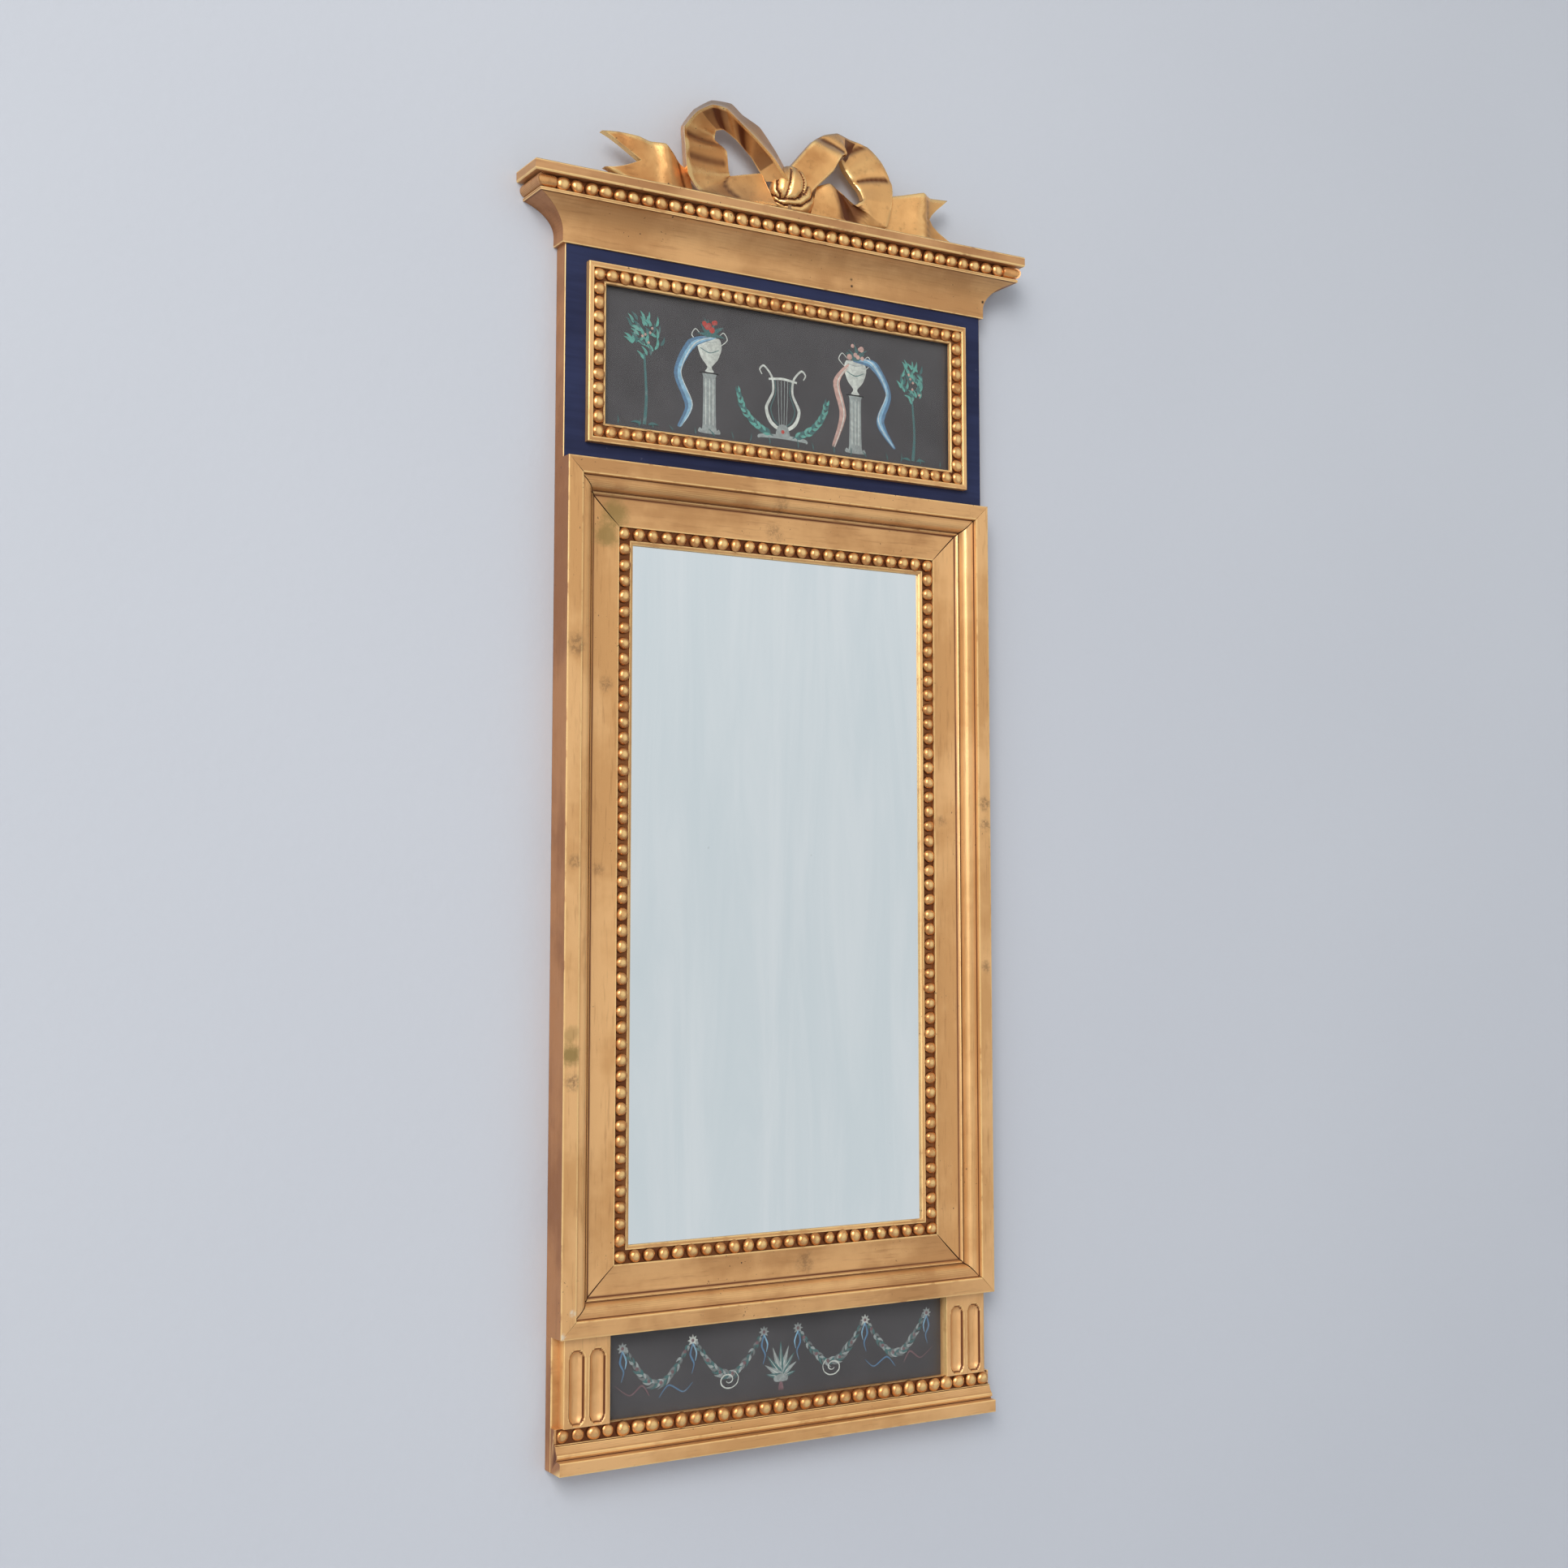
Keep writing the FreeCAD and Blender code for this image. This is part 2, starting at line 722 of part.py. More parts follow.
def make_cornice():
    """A crown board over mitred cove mouldings at the front and both sides."""
    half = s.frame_width / 2
    depth = s.frieze_depth + s.cornice_front
    scale = s.cornice_side / s.cornice_front

    front = new_body("cornice_front", (0, 0, cornice_rise()))
    points, arcs = cornice_profile(as_length(1), s.cove_front_radius, plain=False)
    section = new_sketch(front, SIDE, "section")
    draw_outline(section, [(-(s.frieze_depth + out), up) for out, up in points], arcs)
    pad(front, section, (half + s.cornice_side) * 2, symmetric=True)
    mitres = new_sketch(front, TOP, "mitres")
    for sign in (1, -1):
        inner, outer = half * sign, (half + s.cornice_side) * sign
        draw_outline(mitres, [(inner, -s.frieze_depth), (outer, -s.frieze_depth), (outer, -depth)])
    pocket(front, mitres, symmetric=True)

    points, arcs = cornice_profile(scale, s.cove_side_radius, plain=True)
    for name, sign in (("cornice_return_left", -1), ("cornice_return_right", 1)):
        body = new_body(name, (half * sign, 0, cornice_rise()))
        section = new_sketch(body, FRONT, "section")
        bulges = {index: (radius, -bulge * sign) for index, (radius, bulge) in arcs.items()}
        draw_outline(section, [(out * sign, up) for out, up in points], bulges)
        pad(body, section, depth)
        mitre = new_sketch(body, TOP, "mitre")
        outer = s.cornice_side * sign
        draw_outline(mitre, [(ZERO, -s.frieze_depth), (outer, -depth), (ZERO, -depth)])
        pocket(body, mitre, symmetric=True)

    crown = new_body("cornice_top_board", (0, 0, crown_rise()))
    outline = new_sketch(crown, TOP, "outline")
    width = half + s.cornice_side
    draw_outline(outline, rectangle(-width, -depth, width, ZERO))
    pad(crown, outline, s.crown_thickness)
    chamfer_edges(crown, s.crown_arris, lambda centre: centre.y < -0.1)
    pegs = new_sketch(crown, TOP, "peg_holes", s.crown_thickness)
    for across in (-s.peg_spacing, ZERO, s.peg_spacing):
        draw_outline(pegs, peg_outline(across, s.peg_gap))
    pocket(crown, pegs, s.peg_bite + s.peg_gap)

    seat_bottom = s.cove_height + s.cornice_lip
    seat_top = s.cornice_height - s.crown_thickness
    reach = half + s.cornice_seat * scale - s.pearl_fit
    span = (reach - s.corner_block - s.pearl_radius - s.pearl_fit) * 2
    bed = (-reach, seat_bottom + s.pearl_fit, reach, seat_top - s.pearl_fit)
    seat = s.frieze_depth + s.cornice_seat
    pearl_string(
        "cornice_pearls",
        (0, 0, cornice_rise()),
        0.0,
        bed,
        (seat_bottom + seat_top) / 2,
        seat,
        span,
        s.cornice_pearls,
        s.pearl_radius,
        s.pearl_height,
        blocks=s.corner_block,
    )


def peg_outline(across, gap):
    """The outline of a square peg, or of its hole with a gap all round, seen from above."""
    half = s.peg_side / 2 + gap
    return rectangle(across - half, -s.peg_setback - half, across + half, -s.peg_setback + half)


def crown_rise():
    """Height of the crown board's underside."""
    return cornice_rise() + s.cornice_height - s.crown_thickness


def chamfer_edges(body, size, wanted):
    """Chamfer the edges of the body's tip whose middle is wanted."""
    doc.recompute()
    base = body.Tip
    names = [
        f"Edge{number}"
        for number, edge in enumerate(base.Shape.Edges, start=1)
        if wanted(edge.CenterOfMass)
    ]
    feature = body.newObject("PartDesign::Chamfer", f"{body.Name}_chamfer")
    feature.Base = (base, names)
    feature.setExpression("Size", size.formula)


# ---------------------------------------------------------------- base


def make_base():
    """The base board with fluted blocks, a painted panel, the pearled moulding and its plinth."""
    half = s.frame_width / 2
    top = (0, 0, -(s.frame_height / 2))
    body = new_body("base_board", top)
    outline = new_sketch(body, FRONT, "outline")
    draw_outline(outline, rectangle(-half, -s.base_height, half, ZERO))
    pad(body, outline, s.base_board_depth)
    groove_for_tongue(body, upward=False)

    block_height = s.base_height - s.base_moulding_height
    for name, sign in (("fluted_block_left", -1), ("fluted_block_right", 1)):
        make_fluted_block(name, sign, block_height)

    pane_half = half - s.block_inset - s.block_width + s.pane_lap - s.pane_gap
    pane = rectangle(-pane_half, -block_height, pane_half, ZERO)
    for name, back, thickness in (
        ("base_picture", s.base_board_depth, s.base_picture),
        ("base_glass", s.base_board_depth + s.base_picture, s.base_pane),
    ):
        body = new_body(name, top)
        outline = new_sketch(body, FRONT, "outline", back)
        draw_outline(outline, pane)
        pad(body, outline, thickness)

    make_base_moulding(-(s.frame_height / 2 + block_height))


def make_fluted_block(name, sign, height):
    """A block with two round-headed flutes, rebated at the back over the panel's edge."""
    middle = (s.frame_width / 2 - s.block_inset - s.block_width / 2) * sign
    body = new_body(name, (middle, 0, -(s.frame_height / 2)))
    outline = new_sketch(body, FRONT, "outline", s.base_board_depth)
    side = s.block_width / 2
    draw_outline(outline, rectangle(-side, -height, side, ZERO))
    pad(body, outline, s.block_depth)
    rebate = new_sketch(body, FRONT, "pane_rebate", s.base_board_depth)
    inner = -side * sign
    draw_outline(rebate, rectangle(inner, -height, inner + s.pane_lap * sign, ZERO))
    pocket(body, rebate, s.base_picture + s.base_pane + s.pane_gap, reverse=True)
    axis = -(s.base_board_depth + s.block_depth + s.flute_setback)
    for number, across in enumerate((-(s.flute_spacing / 2), s.flute_spacing / 2), start=1):
        flute = new_sketch(body, SIDE, f"flute_{number}", across, axis)
        head = -s.flute_top
        corners = [(ZERO, head)]
        for angle in (30, 60, 90):
            out, drop = math.sin(math.radians(angle)), 1 - math.cos(math.radians(angle))
            corners.append((s.flute_radius * round(out, 6), head - s.flute_radius * round(drop, 6)))
        corners += [(s.flute_radius, -height), (ZERO, -height)]
        draw_outline(flute, corners)
        groove = body.newObject("PartDesign::Groove", f"{flute.Name}_groove")
        groove.Profile = flute
        groove.ReferenceAxis = (flute, ["V_Axis"])
        groove.Angle = 360
    return body


def make_base_moulding(top):
    """The moulding under the blocks: pearl seat, lip, swelling fascia, quirk and plinth fillet."""
    half = s.frame_width / 2
    body = new_body("base_moulding", (0, 0, top))
    section = new_sketch(body, SIDE, "section")
    lip_bottom = s.base_seat_height + s.base_lip
    fascia_bottom = lip_bottom + s.fascia_height
    plinth_top = fascia_bottom + s.base_quirk
    corners = [
        (-s.base_board_depth, ZERO),
        (-s.base_seat_depth, ZERO),
        (-s.base_seat_depth, -s.base_seat_height),
        (-s.base_lip_depth, -s.base_seat_height),
        (-s.base_lip_depth, -lip_bottom),
        (-s.fascia_depth, -lip_bottom),
        (-s.fascia_depth, -fascia_bottom),
        (-s.base_quirk_depth, -fascia_bottom),
        (-s.base_quirk_depth, -plinth_top),
        (-s.frame_depth, -plinth_top),
        (-s.frame_depth, -s.base_moulding_height),
        (-s.base_board_depth, -s.base_moulding_height),
    ]
    draw_outline(section, corners, {5: (s.fascia_radius, -1)})
    pad(body, section, half * 2, symmetric=True)
    reach = half - s.base_pearl_inset
    bed = (-reach, -s.base_seat_height + s.pearl_fit, reach, ZERO)
    pearl_string(
        "base_pearls",
        (0, 0, top),
        0.0,
        bed,
        -(s.base_seat_height / 2),
        s.base_seat_depth,
        (reach - s.pearl_radius) * 2,
        s.base_pearls,
        s.pearl_radius,
        s.pearl_height,
    )


# ---------------------------------------------------------------- hangers


def make_hangers():
    """Two strap hangers with a D ring each, let into the backs of the stiles."""
    nails = []
    for side, sign in (("left", -1), ("right", 1)):
        across = (s.frame_width / 2 - s.hanger_inset) * sign
        make_strap(f"hanger_strap_{side}", across)
        make_ring(f"hanger_ring_{side}", across)
        for number, drop in enumerate((s.nail_first, s.nail_second), start=1):
            nails += make_nail(f"nail_{side}_{number}", across, s.hanger_rise - drop)
    group("hanger_nails", nails)


def barrel_setback():
    """How far the hinge line of a hanger lies in front of the wall plane."""
    return s.barrel_radius + s.hanger_clearance


def make_strap(name, across):
    """A strap with two square nail holes, rolled to a barrel round the ring's pin."""
    body = new_body(name, (across, 0, s.hanger_rise))
    centre = (-barrel_setback(), ZERO)
    barrel = new_sketch(body, SIDE, "barrel")
    draw_circle(barrel, centre, s.barrel_radius)
    pad(body, barrel, s.strap_width, symmetric=True)
    plate = new_sketch(body, SIDE, "plate")
    floor = -hanger_floor()
    draw_outline(plate, rectangle(floor, -s.strap_length, floor + s.strap_thickness, ZERO))
    pad(body, plate, s.strap_width, symmetric=True)
    bore = new_sketch(body, SIDE, "bore")
    draw_circle(bore, centre, s.wire_radius + s.wire_clearance)
    pocket(body, bore, symmetric=True)
    holes = new_sketch(body, FRONT, "nail_holes")
    hole = s.nail_side + s.nail_gap * 2
    for drop in (s.nail_first, s.nail_second):
        draw_outline(holes, centred(hole, hole, -drop))
    pocket(body, holes, reverse=True)


def make_ring(name, across):
    """A forged D ring: a half turn with two legs, and a round pin between them."""
    body = new_body(name, (across, -barrel_setback(), s.hanger_rise))
    half = s.ring_width / 2
    inner, outer = half - s.wire_radius, half + s.wire_radius
    turn = -(s.ring_drop - half)
    bend = new_sketch(body, FRONT, "bend")
    corners = [
        (-outer, s.wire_radius),
        (-outer, turn),
        (ZERO, turn - outer),
        (outer, turn),
        (outer, s.wire_radius),
        (inner, s.wire_radius),
        (inner, turn),
        (ZERO, turn - inner),
        (-inner, turn),
        (-inner, s.wire_radius),
    ]
    draw_outline(bend, corners, {1: (outer, -1), 2: (outer, -1), 6: (inner, 1), 7: (inner, 1)})
    pad(body, bend, s.wire_radius * 2, symmetric=True)
    pin = new_sketch(body, SIDE, "pin")
    draw_circle(pin, (ZERO, ZERO), s.wire_radius)
    pad(body, pin, s.ring_width, symmetric=True)


def lay(thing, base, axis, turn):
    """Put a primitive at base, turned about an axis, its place bound to the sheet."""
    base = [as_length(length) for length in base]
    origin = FreeCAD.Vector(*[length.value for length in base])
    thing.Placement = FreeCAD.Placement(origin, FreeCAD.Rotation(FreeCAD.Vector(*axis), turn))
    for letter, length in zip("xyz", base):
        thing.setExpression(f".Placement.Base.{letter}", length.formula)


def spike(name, base, turn, foot, tip, length):
    """A square spike from a foot of one width to a tip of another, along Y."""
    thing = doc.addObject("Part::Wedge", name)
    ends = {
        "Xmin": -foot / 2,
        "Xmax": foot / 2,
        "Zmin": -foot / 2,
        "Zmax": foot / 2,
        "X2min": -tip / 2,
        "X2max": tip / 2,
        "Z2min": -tip / 2,
        "Z2max": tip / 2,
        "Ymin": ZERO,
        "Ymax": length,
    }
    for side, size in ends.items():
        thing.setExpression(side, size.formula)
    lay(thing, base, (0, 0, 1), turn)
    return thing


def make_nail(name, across, rise):
    """A forged nail that points to the front, its head on the strap."""
    back = -(hanger_floor() - s.strap_thickness)
    place_on = (across, back, rise)
    nail = doc.addObject("Part::MultiFuse", name)
    nail.Shapes = [
        spike(f"{name}_head", place_on, 0, s.nail_head, s.nail_crown, s.nail_head_height),
        spike(f"{name}_shank", place_on, 180, s.nail_side, s.nail_point, s.nail_length),
    ]
    return [nail]


# ---------------------------------------------------------------- carved bow

# Rails of the left loop's ribbon from the knot round to the knot: back edge, front arris and inner
# edge at each cut of the gouge, across and up from the middle of the crown board.
LEFT_LOOP = [
    ((-12, 5), (-14, 3), (-14, 26)),
    ((-38, 6), (-46, 2), (-46, 28)),
    ((-74, 6), (-80, 2), (-47, 27)),
    ((-89, 24), (-93, 22), (-48, 28)),
    ((-90, 40), (-95, 37), (-51, 46)),
    ((-93, 55), (-96, 53), (-62, 51)),
    ((-83, 69), (-85, 65), (-62, 58)),
    ((-65, 83), (-73, 72), (-55, 61)),
    ((-50, 84), (-62, 72), (-49, 59)),
    ((-32, 74), (-46, 62), (-39, 50)),
    ((-15, 66), (-33, 55), (-31, 42)),
    ((2, 42), (-14, 36), (-18, 34)),
]
LEFT_DEPTHS = (14, 28, 16)

# Ribbons given by their two edges at each cut: (across, setback, up) of the outer and inner edge.
RIGHT_LOOP = [
    ((-2, 20, 38), (12, 22, 30)),
    ((20, 22, 66), (49, 28, 56)),
    ((44, 16, 77), (58, 24, 62)),
    ((62, 12, 73), (59, 17, 56)),
    ((79, 12, 69), (62, 15, 50)),
    ((93, 18, 52), (66, 17, 39)),
    ((99, 20, 38), (74, 25, 29)),
    ((97, 24, 26), (76, 26, 22)),
    ((90, 24, 5), (69, 22, 13)),
    ((70, 20, 2), (60, 16, 17)),
    ((49, 26, 2), (49, 22, 26)),
    ((14, 22, 2), (16, 18, 27)),
]
LEFT_TAIL = [
    ((-96, 20, 21), (-86, 20, 0)),
    ((-104, 23, 26), (-97, 24, 0)),
    ((-112, 28, 33), (-108, 28, 0)),
    ((-123, 22, 35), (-118, 26, 0)),
    ((-134, 25, 37), (-127, 24, 0)),
    ((-149, 22, 39), (-145, 23, 5)),
    ((-162, 19, 36), (-160, 21, 9)),
]
LEFT_NOTCH = [(-139, 19), (-180, 45), (-180, 2)]
RIGHT_TAIL = [
    ((92, 20, 30), (84, 20, 0)),
    ((108, 24, 33), (104, 24, 0)),
    ((127, 28, 39), (127, 28, 0)),
    ((136, 23, 38), (138, 23, 0)),
    ((151, 19, 40), (157, 20, 0)),
]
RIGHT_NOTCH = [(138, 22), (170, 59), (170, -18)]
KNOT = [
    (-24, 18),
    (-18, 3),
    (-8, 0),
    (8, 0),
    (15, 5),
    (19, 18),
    (14, 31),
    (5, 37),
    (-8, 36),
    (-16, 31),
]


def facets(corners):
    """A flat face through three points."""
    return Part.Face(Part.makePolygon([*corners, corners[0]]))


def ribbon(sections):
    """A solid through sections with the same number of corners, faceted like gouge cuts."""
    faces = []
    for section, following in zip(sections, sections[1:]):
        count = len(section)
        for index in range(count):
            after = (index + 1) % count
            faces.append(facets((section[index], section[after], following[after])))
            faces.append(facets((section[index], following[after], following[index])))
    for section in (sections[0], sections[-1]):
        for index in range(1, len(section) - 1):
            faces.append(facets((section[0], section[index], section[index + 1])))
    solid = Part.Solid(Part.Shell(faces))
    if solid.Volume < 0:
        solid.reverse()
    return solid


def left_sections():
    """The left loop's sections: back edge, front arris, inner edge and the back between them."""
    sections = []
    for rails in LEFT_LOOP:
        corners = [
            FreeCAD.Vector(across, -depth, up) for (across, up), depth in zip(rails, LEFT_DEPTHS)
        ]
        back = (corners[0] + corners[2]) * 0.5
        back.y = -LEFT_DEPTHS[0] + s.bow_ribbon.value
        sections.append([*corners, back])
    return sections


def flat_sections(edges):
    """Sections of an even ribbon given by its two front edges."""
    sections = []
    for outer, inner in edges:
        front = [FreeCAD.Vector(across, -depth, up) for across, depth, up in (outer, inner)]
        behind = FreeCAD.Vector(0, s.bow_ribbon.value, 0)
        sections.append([front[0], front[1], front[1] + behind, front[0] + behind])
    return sections


def prism(outline):
    """An outline in X and Z, drawn out along Y past the whole bow."""
    points = [FreeCAD.Vector(across, 0, up) for across, up in outline]
    depth = s.frieze_depth.value + s.cornice_front.value
    return Part.Face(Part.makePolygon([*points, points[0]])).extrude(FreeCAD.Vector(0, -depth, 0))


def make_bow():
    """A carved bow of two loops and two tails round a knot, pegged to the crown board."""
    rise = crown_rise() + s.crown_thickness
    knot = new_body("bow_knot", (0, 0, rise))
    outline = new_sketch(knot, FRONT, "outline", s.bow_knot_back)
    draw_outline(outline, KNOT)
    pad(knot, outline, s.bow_knot_depth)
    front = -(s.bow_knot_back + s.bow_knot_depth).value
    chamfer_edges(knot, s.bow_knot_bevel, lambda centre: centre.y < front + 0.1)
    hole = new_sketch(knot, TOP, "peg_hole")
    draw_outline(hole, peg_outline(ZERO, s.peg_gap))
    pocket(knot, hole, s.peg_length - s.peg_bite + s.peg_gap, reverse=True)
    doc.recompute()

    left_loop = ribbon(left_sections()).cut(prism(KNOT))
    right_loop = ribbon(flat_sections(RIGHT_LOOP)).cut(prism(KNOT))
    tails = []
    for edges, notch, loop, sign in (
        (LEFT_TAIL, LEFT_NOTCH, left_loop, -1),
        (RIGHT_TAIL, RIGHT_NOTCH, right_loop, 1),
    ):
        tail = ribbon(flat_sections(edges)).cut(prism(notch)).cut(loop)
        side = (s.peg_side + s.peg_gap * 2).value
        length = (s.peg_length - s.peg_bite + s.peg_gap).value
        left = s.peg_spacing.value * sign - side / 2
        foot = FreeCAD.Vector(left, -s.peg_setback.value - side / 2, 0)
        tails.append(tail.cut(Part.makeBox(side, side, length, foot)))
    shapes = {
        "bow_loop_left": left_loop,
        "bow_loop_right": right_loop,
        "bow_tail_left": tails[0],
        "bow_tail_right": tails[1],
    }
    for name, shape in shapes.items():
        thing = doc.addObject("Part::Feature", name)
        thing.Label = name
        thing.Shape = max(shape.Solids, key=lambda solid: solid.Volume)
        place(thing, (0, 0, rise))
        subparts.append(thing)

    pegs = []
    for number, across in enumerate((-s.peg_spacing, ZERO, s.peg_spacing), start=1):
        half = s.peg_side / 2
        corner = (across - half, -s.peg_setback - half, rise - s.peg_bite)
        pegs.append(box(f"peg_{number}", (s.peg_side, s.peg_side, s.peg_length), corner))
    group("bow_pegs", pegs)


# ---------------------------------------------------------------- build


def check_and_export():
    """Stop on any feature that failed, then write each sub-part to its own file."""
    doc.recompute()
    failed = [thing.Name for thing in doc.Objects if {"Invalid", "Error"} & set(thing.State)]
    if failed:
        raise RuntimeError(f"features failed: {failed}")
    os.makedirs("parts", exist_ok=True)
    for thing in subparts:
        shape = thing.Shape
        if shape.isNull() or not shape.isValid() or not shape.Solids:
            raise RuntimeError(f"{thing.Label} has no valid solid")
        shape.exportStep(f"parts/{thing.Label}.step")
        size = shape.BoundBox
        print(
            f"{thing.Label}: {len(shape.Solids)} solid(s), {len(shape.Faces)} faces,"
            f" {size.XLength:.1f} x {size.YLength:.1f} x {size.ZLength:.1f} mm,"
            f" {shape.Volume / 1000:.1f} cm3"
        )


make_sheet()
make_mirror_frame()
make_frame_pearls()
make_mirror()
make_frieze()
make_tongues()
make_cornice()
make_base()
make_hangers()
make_bow()
check_and_export()
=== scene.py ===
import math
import random

import bmesh
import bpy
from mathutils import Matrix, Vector, noise


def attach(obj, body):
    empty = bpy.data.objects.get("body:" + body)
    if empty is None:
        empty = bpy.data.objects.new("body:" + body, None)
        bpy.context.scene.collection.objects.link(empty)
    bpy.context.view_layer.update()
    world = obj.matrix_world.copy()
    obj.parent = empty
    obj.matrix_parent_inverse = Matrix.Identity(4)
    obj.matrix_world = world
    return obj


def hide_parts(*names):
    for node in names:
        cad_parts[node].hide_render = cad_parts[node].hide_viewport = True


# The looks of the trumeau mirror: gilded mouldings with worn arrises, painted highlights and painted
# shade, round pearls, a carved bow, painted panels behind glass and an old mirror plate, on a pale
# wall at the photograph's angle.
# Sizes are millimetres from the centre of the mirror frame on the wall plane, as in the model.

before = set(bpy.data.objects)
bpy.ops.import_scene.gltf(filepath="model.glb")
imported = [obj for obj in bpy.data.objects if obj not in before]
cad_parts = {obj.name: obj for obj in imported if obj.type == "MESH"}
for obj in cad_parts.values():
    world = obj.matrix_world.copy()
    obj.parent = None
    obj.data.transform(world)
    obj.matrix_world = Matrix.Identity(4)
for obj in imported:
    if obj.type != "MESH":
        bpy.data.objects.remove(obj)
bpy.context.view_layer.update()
random.seed(7)

# The model's origin lies this far above the mirror frame's centre.
RISE = 292.0
# The mirror frame, and the recesses for its hangers: how far they stand from the middle, half
# their width, their depth, and their lower and upper ends.
FRAME_WIDTH, FRAME_HEIGHT, FRAME_DEPTH = 380.0, 637.0, 25.0
HALF, FRAME_EDGE = FRAME_WIDTH / 2, FRAME_HEIGHT / 2
HANGER_ACROSS = 175.0
RECESS_HALF, RECESS_DEPTH, RECESS_LOW, RECESS_TOP = 11.0, 6.1, 169.0, 225.3
# The top of the base moulding, the foot of the cornice, and the crown board's foot and top.
BASE_TOP, CORNICE_FOOT, CROWN_FOOT, CROWN = -381.5, 480, 524.5, 533.0
# How far the front of the frieze board stands from the wall.
BOARD = 15.0


def srgb(red, green, blue):
    """A colour given as 0-255 values, in the linear values that shaders use."""
    values = []
    for value in (red, green, blue):
        value /= 255
        values.append(value / 12.92 if value <= 0.04045 else ((value + 0.055) / 1.055) ** 2.4)
    return (*values, 1.0)


def metres(point):
    """A point in millimetres from the frame's centre, in metres from the origin."""
    return (point[0] / 1000, point[1] / 1000, (point[2] - RISE) / 1000)


# ---------------------------------------------------------------- materials


class Nodes:
    """The node tree of a material or a world, with short calls for the nodes used here."""

    def __init__(self, owner):
        owner.use_nodes = True
        self.nodes, self.links = owner.node_tree.nodes, owner.node_tree.links

    def node(self, kind, values=None, **options):
        made = self.nodes.new(kind)
        for key, value in options.items():
            setattr(made, key, value)
        for key, value in (values or {}).items():
            if isinstance(value, bpy.types.NodeSocket):
                self.links.new(value, made.inputs[key])
            else:
                made.inputs[key].default_value = value
        return made

    def ramp(self, value, low, high, most=1.0):
        """0 under low and most over high."""
        values = {"Value": value, "From Min": low, "From Max": high, "To Max": most}
        return self.node("ShaderNodeMapRange", values, interpolation_type="SMOOTHSTEP").outputs[0]

    def math(self, operation, *values):
        return self.node("ShaderNodeMath", dict(enumerate(values)), operation=operation).outputs[0]

    def times(self, first, second):
        return self.math("MULTIPLY", first, second)

    def plus(self, first, second):
        return self.math("ADD", first, second)

    def scaled(self, value, factor, start):
        return self.math("MULTIPLY_ADD", value, factor, start)


class Shader(Nodes):
    """A new material."""

    def __init__(self, name):
        self.material = bpy.data.materials.new(name)
        super().__init__(self.material)
        self.nodes.clear()
        self.output = self.nodes.new("ShaderNodeOutputMaterial")

    def place(self):
        return self.node("ShaderNodeTexCoord").outputs["Object"]

    def stretched(self, scale):
        return self.node("ShaderNodeMapping", {"Vector": self.place(), "Scale": scale}).outputs[0]

    def noise(self, scale, detail, rough, vector=None, twist=0.0):
        values = {"Scale": scale, "Detail": detail, "Roughness": rough, "Distortion": twist}
        values["Vector"] = vector or self.place()
        return self.node("ShaderNodeTexNoise", values).outputs["Fac"]

    def mix(self, amount, first, second):
        values = {0: amount, 6: first, 7: second}
        return self.node("ShaderNodeMix", values, data_type="RGBA").outputs[2]

    def attribute(self, name, output="Fac"):
        return self.node("ShaderNodeAttribute", attribute_name=name).outputs[output]

    def spot(self, point, radius, edge, flecked):
        """1 near a point, fading out between radius and radius plus edge, all in millimetres."""
        values = {0: self.place(), 1: metres(point)}
        apart = self.node("ShaderNodeVectorMath", values, operation="DISTANCE").outputs["Value"]
        rough = min(0.016, (radius + edge) * 0.0012)
        ragged = self.times(self.noise(120.0, 5.0, 0.8), rough)
        apart = self.plus(apart, self.math("SUBTRACT", ragged, rough / 2))
        near = self.ramp(apart, (radius + edge) / 1000, radius * 0.4 / 1000)
        if not flecked:
            return near
        flecks = self.ramp(self.noise(330.0, 4.0, 0.75), 0.40, 0.58)
        return self.times(near, self.scaled(flecks, 0.75, 0.25))

    def bump(self, height, strength, distance):
        values = {"Height": height, "Strength": strength, "Distance": distance}
        return self.node("ShaderNodeBump", values).outputs[0]

    def body(self, colour, roughness, normal=None, metallic=0.0, specular=0.5):
        values = {"Base Color": colour, "Roughness": roughness, "Metallic": metallic}
        values["Specular IOR Level"] = specular
        if normal is not None:
            values["Normal"] = normal
        return self.node("ShaderNodeBsdfPrincipled", values)

    def finish(self, shown):
        """Let a shader node's result be the surface, and give the material."""
        self.links.new(shown.outputs[0], self.output.inputs["Surface"])
        return self.material

    def surface(self, *values, **options):
        return self.finish(self.body(*values, **options))

    def blend(self, amount, first, second):
        """Finish with the first shader where amount is 0 and the second where it is 1."""
        values = {0: amount, 1: first.outputs[0], 2: second.outputs[0]}
        return self.finish(self.node("ShaderNodeMixShader", values))


# The first two colours are painted shade for crevices and a painted highlight for arrises.
CREVICE_SHADE = srgb(104, 56, 28)
ARRIS_HIGHLIGHT = srgb(246, 205, 138)
SPECK = srgb(84, 62, 42)
OLIVE = srgb(140, 116, 62)
# Grey of settled dust and of a painted sheen on upward faces.
DUST_SHEEN_GREY = srgb(122, 102, 82)
RUBBED = srgb(140, 92, 50)
GESSO = srgb(226, 214, 190)
HOLE = srgb(40, 28, 20)


